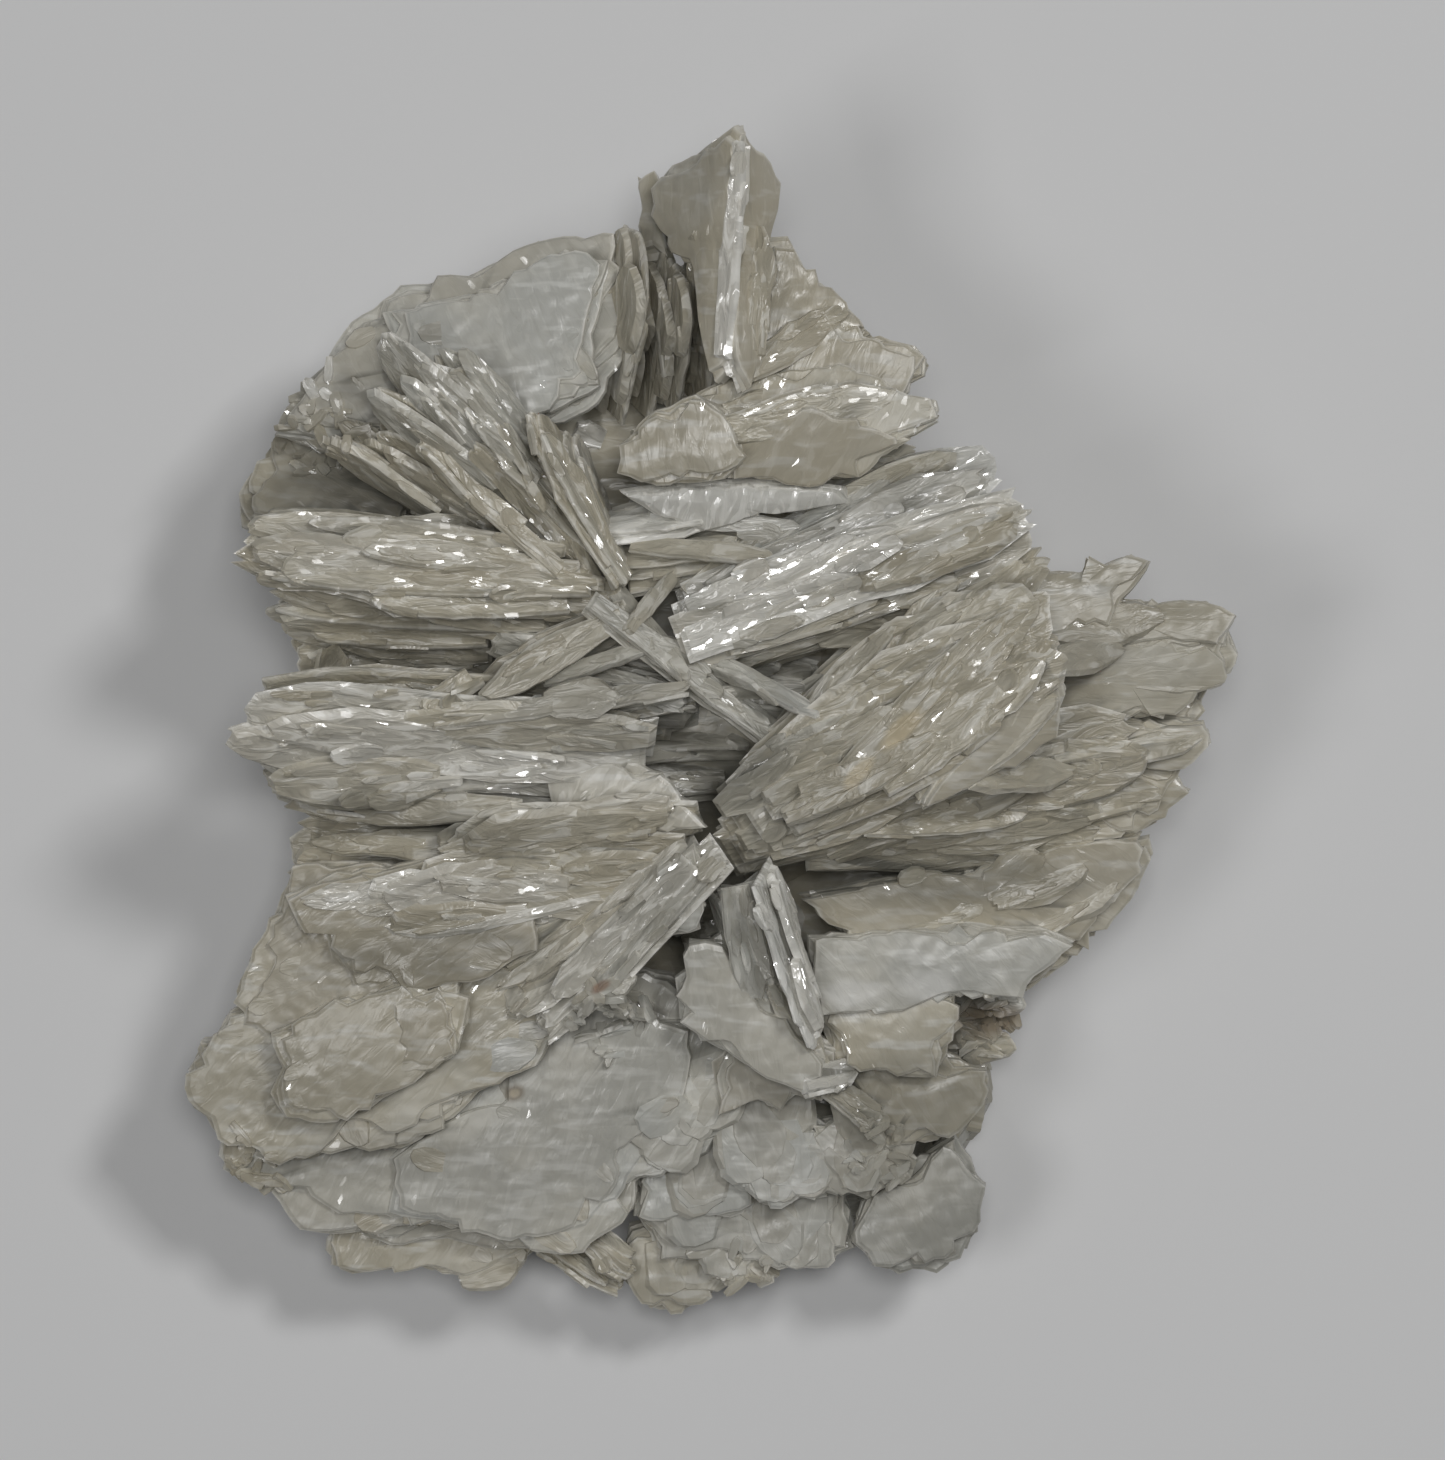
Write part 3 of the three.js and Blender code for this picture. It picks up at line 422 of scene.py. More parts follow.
# Plates ---------------------------------------------------
# Broad plates close the outside of the rosettes. Each is a book of leaves set back a little. A row gives
# its height at the middle, the heading and lean of its face, its thickness and its outline from above, as x
# and y in turn.
PLATES = (
    # north-west disc and its terraces
    (14.6, 120, 14, 1.7, (-24.6, 16.5, -22.6, 19.7, -20.3, 22.9, -17.5, 25, -13, 25.6, -9.5, 27.3, -5, 27.7,
     -3.6, 25.5, -4.6, 21, -6.2, 18.2, -12.5, 14.5, -19.5, 15.6)),
    (16.2, 120, 12, 1.2, (-18.5, 23.3, -13, 24.6, -8, 26.8, -5.4, 26.3, -6.5, 22, -6, 19, -11, 16.5,
     -17, 19)),
    (13.6, 140, 22, 1.4, (-24.5, 16.6, -23.4, 18.4, -21.2, 20.9, -19, 20.6, -18.6, 17.5, -21.5, 15.2)),
    # recess below the diagonal ridge
    (11.4, 110, 18, 1.5, (-26.6, 11.4, -26.7, 13.2, -25.7, 15, -24.4, 16.6, -20, 17.2, -15.5, 13,
     -17.5, 10.6, -23, 9.8)),
    # plates stepping down the south-west corner
    (14.6, 250, 12, 1.3, (-23.9, -9.6, -23.2, -11.5, -21.6, -11.6, -21.4, -13.2, -20, -14.6, -16.5, -14.9,
     -13, -14.4, -9.5, -12.5, -9.5, -9, -16, -7.5, -21, -8.2)),
    (12.6, 205, 14, 1.5, (-23.4, -7.6, -25.2, -11.3, -26.7, -14.4, -26.9, -15.6, -26.2, -16.8, -24.5, -17.6,
     -20, -17.5, -14, -15.5, -13, -11, -18, -7.5)),
    (13.5, 235, 10, 1.4, (-24.9, -17.3, -24.3, -19.3, -24.9, -20.8, -24, -22.2, -21, -22.5, -19, -21.6,
     -16.5, -20, -13.7, -18.2, -13.4, -15.2, -17, -14.2, -21, -15.2)),
    (14.5, 235, 10, 1.1, (-17.6, -19.3, -15.6, -19.4, -14.2, -18.4, -13.9, -16.4, -15.2, -14.6,
     -17.8, -15.4)),
    (11.2, 235, 12, 1.7, (-27.2, -16.2, -29.7, -19.6, -29.8, -21.2, -28, -23.4, -24.3, -24.8, -20, -24,
     -17.5, -24.1, -15, -22.8, -13, -20.8, -9.5, -19, -7.5, -15.5, -12, -12, -20, -12, -25, -14.6)),
    (9.6, 225, 14, 1.3, (-28.8, -17.6, -29.7, -20, -28.8, -21.6, -26.8, -21.7, -25.6, -20, -26.2, -17.8)),
    (8.6, 250, 11, 2, (-28, -23.4, -27.7, -25.1, -25, -26.5, -23.6, -28.7, -20.5, -29, -18.3, -29.7,
     -15, -29.4, -12, -30, -7, -29.8, -4.3, -27.6, -3.9, -25.8, -0.5, -23.4, 1.5, -20.5, 2, -17, -2, -14,
     -8, -13, -16, -17, -24, -20.5)),
    (10, 255, 11, 1.3, (-18.3, -27.6, -12, -29.2, -7.5, -29, -5, -27, -3.6, -24.2, -0.8, -21.6, -1, -17,
     -6, -14.5, -11, -18.5, -15, -21.5, -18.4, -24.5)),
    (5.6, 270, 8, 1.5, (-22.1, -29.3, -21.8, -30.8, -20.5, -31.4, -18, -31.1, -16.5, -31.2, -14.4, -31.4,
     -12.7, -31.9, -11, -31.2, -9, -29, -14, -25, -20, -25)),
    # grey plate at the edge of the central hollow
    (17, 235, 16, 1.1, (-9.5, -2, -5.5, -1.7, -2.5, -2.5, -1, -4.3, 0, -5.6, -4, -6.4, -8.6, -4.8)),
    # middle of the south side
    (18.2, 270, 24, 1.1, (-3, -7.8, -0.8, -6.6, 0.2, -8.8, -0.4, -11.6, -2.5, -11.9, -3.6, -10)),
    (14.4, 255, 14, 1.4, (-2, -14.2, -1.2, -12, 0.6, -11.6, 2.2, -13.6, 4.5, -16.3, 6.6, -19, 6, -20.8,
     4, -20.2, 2, -19, -0.5, -17.7, -1.8, -16.5)),
    (11.6, 270, 14, 1.3, (0.4, -21.9, 2.5, -21.2, 4, -21.8, 5, -21, 6.4, -21.3, 8, -19.7, 7.6, -18, 5, -17,
     2, -17, 0, -19)),
    (12.2, 280, 9, 1.5, (5.6, -15, 10, -14.2, 14, -15, 14.4, -17, 13.5, -18.6, 13, -20, 9, -19.6,
     7, -19.4)),
    (9.8, 290, 12, 1.5, (7.6, -18.6, 12, -18, 15.8, -19.3, 15.9, -20.5, 15.3, -22.2, 13, -23.6, 10, -24,
     7.6, -22.6)),
    # scales along the south edge
    (7, 290, 8, 1.7, (10, -25.4, 12, -24.2, 14, -23.2, 15, -24.6, 15.8, -26, 15.5, -28.8, 14.4, -30.4,
     13, -31.3, 10.8, -31.4, 9.3, -30.7, 8, -29.4, 8.6, -27)),
    (8, 285, 10, 1.3, (-4.2, -23.6, 0, -21.6, 3, -21.4, 4.8, -24, 3.5, -26, 2, -27.8, -1, -28.8,
     -4.4, -28)),
    (9, 285, 10, 1.2, (0.6, -22, 5, -21.2, 7.4, -23, 6.8, -26.8, 3.4, -27.6, 0.4, -25.6)),
    (6.3, 280, 8, 1.5, (-4.8, -26.5, 0, -25, 4.5, -25.5, 7.8, -25.4, 8.5, -29.8, 6.9, -30.8, 4, -31,
     1, -30.6, -3, -30.4)),
    (8.8, 290, 10, 1.2, (5.6, -22.4, 9, -21.6, 11.9, -22.6, 11.6, -25.6, 9, -27, 6.6, -26.2)),
    (4.6, 270, 10, 1.7, (-5.4, -31.4, -3.5, -33.5, -1.5, -33.7, 0.3, -32.6, 0.3, -30.4, -1, -27.5,
     -4.6, -28.5)),
    (5.4, 280, 6, 1.4, (0.3, -31.3, 0.8, -31.9, 2, -32.1, 2.5, -31.7, 3, -32.2, 3.8, -31.8, 3.8, -30.6,
     3, -28.5, 0.6, -28.5)),
    # spire at the north end, and the plate beside it
    (19.4, 180, 38, 1.3, (1.5, 33.5, 0.2, 32.8, -2.6, 31.1, -3.1, 30.2, -3, 27.8, -1.8, 26.4, -0.6, 24.6,
     -0.2, 21.5, 0.4, 19, 1.6, 20, 1.8, 27, 1.9, 33)),
    (19.4, 5, 42, 1.2, (1.5, 33.4, 2.3, 32.4, 3.2, 31.8, 3.8, 30.6, 3.6, 28.5, 3.3, 25, 3, 21, 2, 18.5,
     1.1, 20, 1, 27)),
    (16.6, 50, 16, 1.5, (3, 27.7, 4.4, 27.6, 5.3, 26, 7, 24.6, 8.2, 23.1, 9.4, 21.9, 7, 19.5, 3, 18.5,
     1.4, 22.5)),
    (14.6, 120, 25, 1, (-4.1, 31.1, -3, 31.3, -2, 29.5, -2.2, 26, -3.8, 26, -4, 28.5)),
    # north-east rosette
    (17.6, 80, 9, 1.5, (-1, 18.2, 4, 21.9, 6.5, 23, 9, 22.2, 11.6, 21.4, 12.4, 20.7, 12.2, 19.7, 10.8, 18.3,
     6, 16.5, 0, 16.5)),
    (19.2, 100, 12, 1.3, (-4.5, 16.5, -1.5, 18.3, 2, 20, 6, 20.4, 9.5, 19.8, 10.9, 18.5, 13, 18.2,
     12.8, 17.1, 10.5, 15.6, 6, 14.6, -1, 14.4)),
    (20.6, 205, 14, 1.3, (-5.3, 14, -5, 15.7, -3.8, 17.3, -0.8, 18.5, 1, 17.5, 2.2, 15, 0.9, 13.6,
     -3, 13.3)),
    (19.8, 285, 22, 1.2, (0.6, 13.7, 1, 16.8, 5, 18, 9, 17.2, 11.5, 16, 10, 15, 8.5, 13.9, 5.5, 13.4)),
    (18.6, 270, 28, 0.9, (-5.2, 13, 0, 13.7, 5, 13.5, 7.8, 13.2, 8, 12.6, 5, 12, 2, 11.6, -0.6, 10.9,
     -3.2, 11.8)),
    # lip of the east shield
    (22.2, 300, 26, 1.3, (11.4, -4.7, 13, -2.3, 16.5, 1.7, 19.4, 4.4, 20, 2, 19.4, -0.4, 17, -2.3,
     14, -3.6)),
    # fingers at the east end, and the plate that they lie on
    (12.8, 350, 8, 2, (15, 7.5, 22, 7.8, 27, 6, 28.6, 3, 27.6, -0.5, 26, -3.5, 24, -6.6, 18, -7, 14, -4)),
    (16.7, 60, 10, 1.6, (16, 8.5, 20.9, 8.8, 21.2, 9.6, 22, 9.1, 23.8, 9.8, 24.9, 9.3, 23.8, 7.6, 22.3, 5.5,
     17.5, 4.5)),
    (15.6, 80, 14, 1.5, (19, 6, 23.5, 7.3, 25.5, 7.2, 28.2, 7.1, 29.6, 6.1, 29.2, 4.6, 25, 4, 19, 3.5)),
    (15.2, 300, 12, 1.5, (17, 4.8, 24, 5.2, 29.3, 5.4, 29.8, 4, 29.5, 2.9, 27.8, 1.9, 26.8, 1, 25.5, 0.4,
     21, 0, 17, 0.5)),
    (14, 290, 13, 1.6, (16, 1, 24, 0.6, 28, 0.3, 28.4, -1, 26.8, -2.3, 24, -3, 17, -3.2)),
    (12.6, 310, 14, 1.5, (15, -1.8, 22, -2.2, 26.2, -2.4, 27.4, -3.6, 26, -5.1, 24.8, -5.9, 20.5, -6.4,
     15, -5.6)),
    # shelves on the south-east side
    (12.2, 295, 15, 1.7, (5, -9.6, 10, -8.6, 15, -7.6, 20.5, -6.4, 24.6, -6.1, 24.7, -8, 22.5, -10.3,
     21, -12, 18, -12.6, 8, -12.4)),
    (13.2, 285, 10, 1.6, (5.4, -11.8, 14, -11, 19.4, -11.4, 20.7, -12.2, 18.6, -14, 17.7, -15.2,
     13.5, -15.6, 10, -16.1, 6.2, -16.2)),
    (10.6, 310, 12, 1.6, (14, -10, 21, -7, 25.1, -6.2, 25.2, -7.2, 23.6, -10.2, 20.9, -13.2, 18, -15.2,
     13.5, -15)),
)


RIM_STEP = 0.75
DOME = 0.12
PLATE_LEAF = 0.42
OVERLAP = 1.15
PLATE_RIBS = 0.2
# how deep a rim is broken: broad bays as a share of the recess, small lobes and fine teeth in millimetres
BAYS = 0.6
LOBES_MM = 0.3
TEETH_MM = 0.6
DEEPEST = 0.4
# broken sheets along a rim: how many to a corner of it, and from what radius a plate has them
RIM_SHEETS = 0.07
SHEETS_FROM_MM = 4.5


def ragged(outline, seed, recess):
    # the corners joined by short edges: small lobes all along, fine teeth, and broad bays up to recess deep
    middle = Vector((sum(x for x, y in outline) / len(outline), sum(y for x, y in outline) / len(outline)))
    rim = []
    walk = 10 * chance(seed, 50)
    for k, (a, b) in enumerate(zip(outline, outline[1:] + outline[:1])):
        a, b = Vector(a), Vector(b)
        parts = max(1, round((b - a).length / RIM_STEP))
        for i in range(parts):
            point = a.lerp(b, i / parts)
            arm = point - middle
            turn = math.atan2(arm.y, arm.x)
            bay = math.sin(2 * turn + 6 * chance(seed, 51)) + 0.7 * math.sin(5 * turn + 6 * chance(seed, 52))
            back = BAYS * recess * max(0.0, bay + 0.5)
            lobe = 1 - abs(math.sin(1.1 * walk + 0.8 * math.sin(0.37 * walk)))
            back += LOBES_MM * lobe * min(1.0, recess + 0.4)
            back += TEETH_MM * chance(seed, k + 0.37 * i) ** 4
            rim.append(point - arm.normalized() * min(back, DEEPEST * arm.length))
            walk += (b - a).length / parts
    return rim


for row, (height, heading, lean, thickness, outline) in enumerate(PLATES):
    corners = list(zip(outline[::2], outline[1::2]))
    n = facing(heading, lean)
    mx = sum(x for x, y in corners) / len(corners)
    my = sum(y for x, y in corners) / len(corners)
    middle = Vector((mx, my, height))
    outward = Vector((mx, my - 2, 0))
    u = (outward - outward.dot(n) * n).normalized()
    v = n.cross(u)
    flat = []
    for x, y in corners:
        arm = Vector((x - mx, y - my, -(n.x * (x - mx) + n.y * (y - my)) / n.z))
        flat.append((arm.dot(u), arm.dot(v)))
    area = 0.5 * sum(x0 * y1 - x1 * y0 for (x0, y0), (x1, y1) in zip(flat, flat[1:] + flat[:1]))
    if area < 0:
        flat.reverse()
    reach = abs(area / math.pi) ** 0.5
    leaves = max(2, round(thickness / PLATE_LEAF))
    depth = thickness / leaves
    for j in range(leaves):
        seed = 5000 + 20 * row + j
        rim = ragged(flat, seed, 0.09 * reach * j)
        edge = [(1.0, -0.5, 0.7), (1 - 0.06 / reach, 0.2, 0.8), (1 - 0.3 / reach, 0.45, 0.15)]
        if j == leaves - 1:
            edge += [(0.7, 0.45 + 0.3 * DOME / depth, 0.1), (0.35, 0.45 + DOME / depth, 0.0)]
        sheet = raise_leaf(f"plate_{row}_{j}", [tuple(p) for p in rim], [(s, s, z, r) for s, z, r in edge])
        place = middle + n * (depth * (j + 0.5) - 0.5 * thickness)
        leaf_to(sheet, u, v, n, (1, 1, depth * OVERLAP), place, PLATE_RIBS, seed)
        bpy.data.objects.remove(sheet)
        # a few broken sheets lie along the rim of the leaf
        for k in range(round(RIM_SHEETS * len(rim)) if reach > SHEETS_FROM_MM else 0):
            spot = rim[int(chance(seed, 60 + k) * len(rim))]
            turn = 0.9 * (chance(seed, 160 + k) - 0.5)
            arm = spot.normalized()
            arm = Vector((arm.x * math.cos(turn) - arm.y * math.sin(turn),
                          arm.x * math.sin(turn) + arm.y * math.cos(turn)))
            long = 1.6 + 2.4 * chance(seed, 260 + k)
            start, end = spot - arm * long * 1.1, spot - arm * long * 0.12
            top = place + n * depth * (0.25 + 0.4 * chance(seed, 360 + k))
            root = top + u * start.x + v * start.y - 0.15 * n
            wide = long * (0.45 + 0.35 * chance(seed, 460 + k))
            leaf("sheet", root, top + u * end.x + v * end.y, wide, 0.3, n, 0.35, seed + 0.1 * k)

# Skirt ----------------------------------------------------
# Low leaves reach out all round from under the rosettes, in two tiers. They are the ends of older crystals,
# half buried in the massive barite. A row gives a heading, the reach of the tips and the height of the
# upper tier.
SKIRT = (
    (0, 24, 6.4), (32, 19.5, 6.6), (64, 20, 7), (96, 25, 6.2), (128, 24.5, 6), (160, 23.5, 6),
    (194, 22, 5), (226, 28, 3.4), (256, 29, 2.2), (286, 28.5, 2), (324, 20.5, 5),
)
LOWER_TIER_MM = 1.2
TIER_LEAVES = 4
TIER_PITCH_MM = 0.5
SKIRT_LEAF_MM = 0.8
for row, (heading, reach, upper) in enumerate(SKIRT):
    for tier in range(2):
        for j in range(TIER_LEAVES):
            seed = 9000 + 20 * row + 10 * tier + j
            turn = heading + 28 * (chance(seed, 1) - 0.5)
            out = facing(turn, 90)
            z = (upper if tier else LOWER_TIER_MM) + TIER_PITCH_MM * (j - 2)
            far = reach * (0.80 + 0.16 * chance(seed, 2))
            root = out * reach * 0.35 + Vector((0, 0, z))
            tip = out * far + Vector((0, 0, z + 1.5 * chance(seed, 3)))
            towards = facing(turn + 90, 26 * (2 * chance(seed, 4) - 1))
            leaf("crest", root, tip, 10 + 3 * chance(seed, 5), SKIRT_LEAF_MM, towards, 0.6, seed)

# Massive barite -------------------------------------------
# The crystals stand on a lumpy mass of the same mineral, rough and blocky where it shows between them. It
# was broken off its rock flat, and the cluster rests on that break. A row gives centre and radii.
LUMPS = (
    ((-3, 3, 3), (16, 14, 10)), ((-10, -15, 0), (11, 9, 8)), ((7, -20, 0), (8.5, 8, 6)),
    ((-6, 14, 2), (11, 8, 9.5)), ((12, 1, 2), (10, 10, 12)), ((4, -1, 3), (9, 9, 8.5)),
    ((10, -11, 0), (9, 8, 8.5)),
)
BLOCK_MM = 1.6
BLOCKY = 0.35
LUMP_TINT = 0.35
LUMP_RIBS = 0.2
lumps = []
for row, (place, radii) in enumerate(LUMPS):
    bpy.ops.object.select_all(action="DESELECT")
    bpy.ops.mesh.primitive_ico_sphere_add(subdivisions=3, radius=1)
    lump = bpy.context.object
    lump.name = f"lump_{row}"
    for vertex in lump.data.vertices:
        p = Vector([c * r for c, r in zip(vertex.co, radii)])
        waved = [p[k] + 0.7 * math.sin(0.9 * p[k - 1] + row) for k in range(3)]
        block = [round(w / BLOCK_MM) * BLOCK_MM for w in waved]
        p = p.lerp(Vector(block), BLOCKY) * 0.985
        vertex.co = p + Vector(place)
    mesh = lump.data
    mesh.attributes.new("rim", "FLOAT", "CORNER")
    dress(mesh, [vertex.co for vertex in mesh.vertices], LUMP_TINT, LUMP_RIBS, (0, 0, 0))
    for name in ("grey", "white", "glitter"):
        mesh.attributes.new(name, "FLOAT", "FACE")
    lumps.append(lump)

# the broken sides of the mass: cleavage sheets that overlap like steps, and pairs of blades that end in the
# open. The larger and more open lumps are drawn more often.
STEPS = 236
OFTEN = (0, 0, 0, 1, 2, 3, 3, 3, 3, 4, 4, 5, 6)
COVERED = 0.94
SIDES_BELOW_MM = 11
FLAT_SHARE = 0.75
STEP_MM = 0.9
OPEN_LEAF_MM = 0.4
laid = 0
for i in range(8 * STEPS):
    seed = 40000 + i
    row = OFTEN[int(len(OFTEN) * chance(seed, 1))]
    place, radii = LUMPS[row]
    out = facing(360 * chance(seed, 2), 96 - 42 * chance(seed, 3) ** 1.3)
    spot = Vector([c + r * o for c, r, o in zip(place, radii, out)])
    others = LUMPS[:row] + LUMPS[row + 1:]
    covered = any(sum(((s - c) / r) ** 2 for s, c, r in zip(spot, *lump)) < COVERED for lump in others)
    if covered or spot.z > SIDES_BELOW_MM or laid >= STEPS:
        continue
    laid += 1
    normal = Vector([o / r for o, r in zip(out, radii)]).normalized()
    lean = Vector([2 * chance(seed, k) - 1 for k in (5, 6, 7)])
    if chance(seed, 8) < FLAT_SHARE:
        u = (lean - lean.dot(normal) * normal).normalized()
        length = 3.6 + 4 * chance(seed, 9)
        start = spot - u * 0.5 * length - normal * 0.5
        end = spot + u * 0.5 * length - normal * 0.1 * chance(seed, 10)
        wide = length * (0.6 + 0.5 * chance(seed, 11))
        leaf("sheet", start, end, wide, STEP_MM, (normal + 0.35 * lean).normalized(), 0.3, seed)
        continue
    u = (normal + 0.45 * lean + Vector((0, 0, 0.15))).normalized()
    across = u.cross(lean.normalized()).normalized()
    for j in range(2):
        proud = 0.3 + 1.2 * chance(seed, 20 + j)
        aside = across * 0.6 * j
        wide = 3.0 + 2.5 * chance(seed, 12 + j)
        start, end = spot - normal * 2.2 + aside, spot + u * proud + aside
        towards = (across + 0.2 * j * lean).normalized()
        leaf("sheet", start, end, wide, OPEN_LEAF_MM, towards, 0.6, seed + 0.1 * j)

# Growing together -----------------------------------------
# All the crystals grew into each other, so they are joined in one closed skin. That takes three rounds: the
# mass with its blades and plates, the single crystals that lie on them, and the splinters.


def pick(thing):
    bpy.ops.object.select_all(action="DESELECT")
    thing.select_set(True)
    bpy.context.view_layer.objects.active = thing


def hand_over(thing):
    # from the scene to the crystals that are joined next
    thing.users_collection[0].objects.unlink(thing)
    grown.objects.link(thing)


def grow_together(operation):
    # join all the crystals that wait in the collection to the cluster, or cut them out of it
    pick(cluster)
    join = cluster.modifiers.new("join", "BOOLEAN")
    join.operation = operation
    join.solver = "MANIFOLD"
    join.operand_type = "COLLECTION"
    join.collection = grown
    bpy.context.scene.collection.children.link(grown)
    bpy.ops.object.modifier_apply(modifier="join")
    for copy in list(grown.objects):
        bpy.data.objects.remove(copy)
    bpy.context.scene.collection.children.unlink(grown)


def skin_tree():
    # the skin as it is now, to find what lies below a point
    skin = cluster.data
    return BVHTree.FromPolygons([v.co for v in skin.vertices], [tuple(p.vertices) for p in skin.polygons])


cluster = lumps[0]
for lump in lumps[1:]:
    hand_over(lump)
grow_together("UNION")

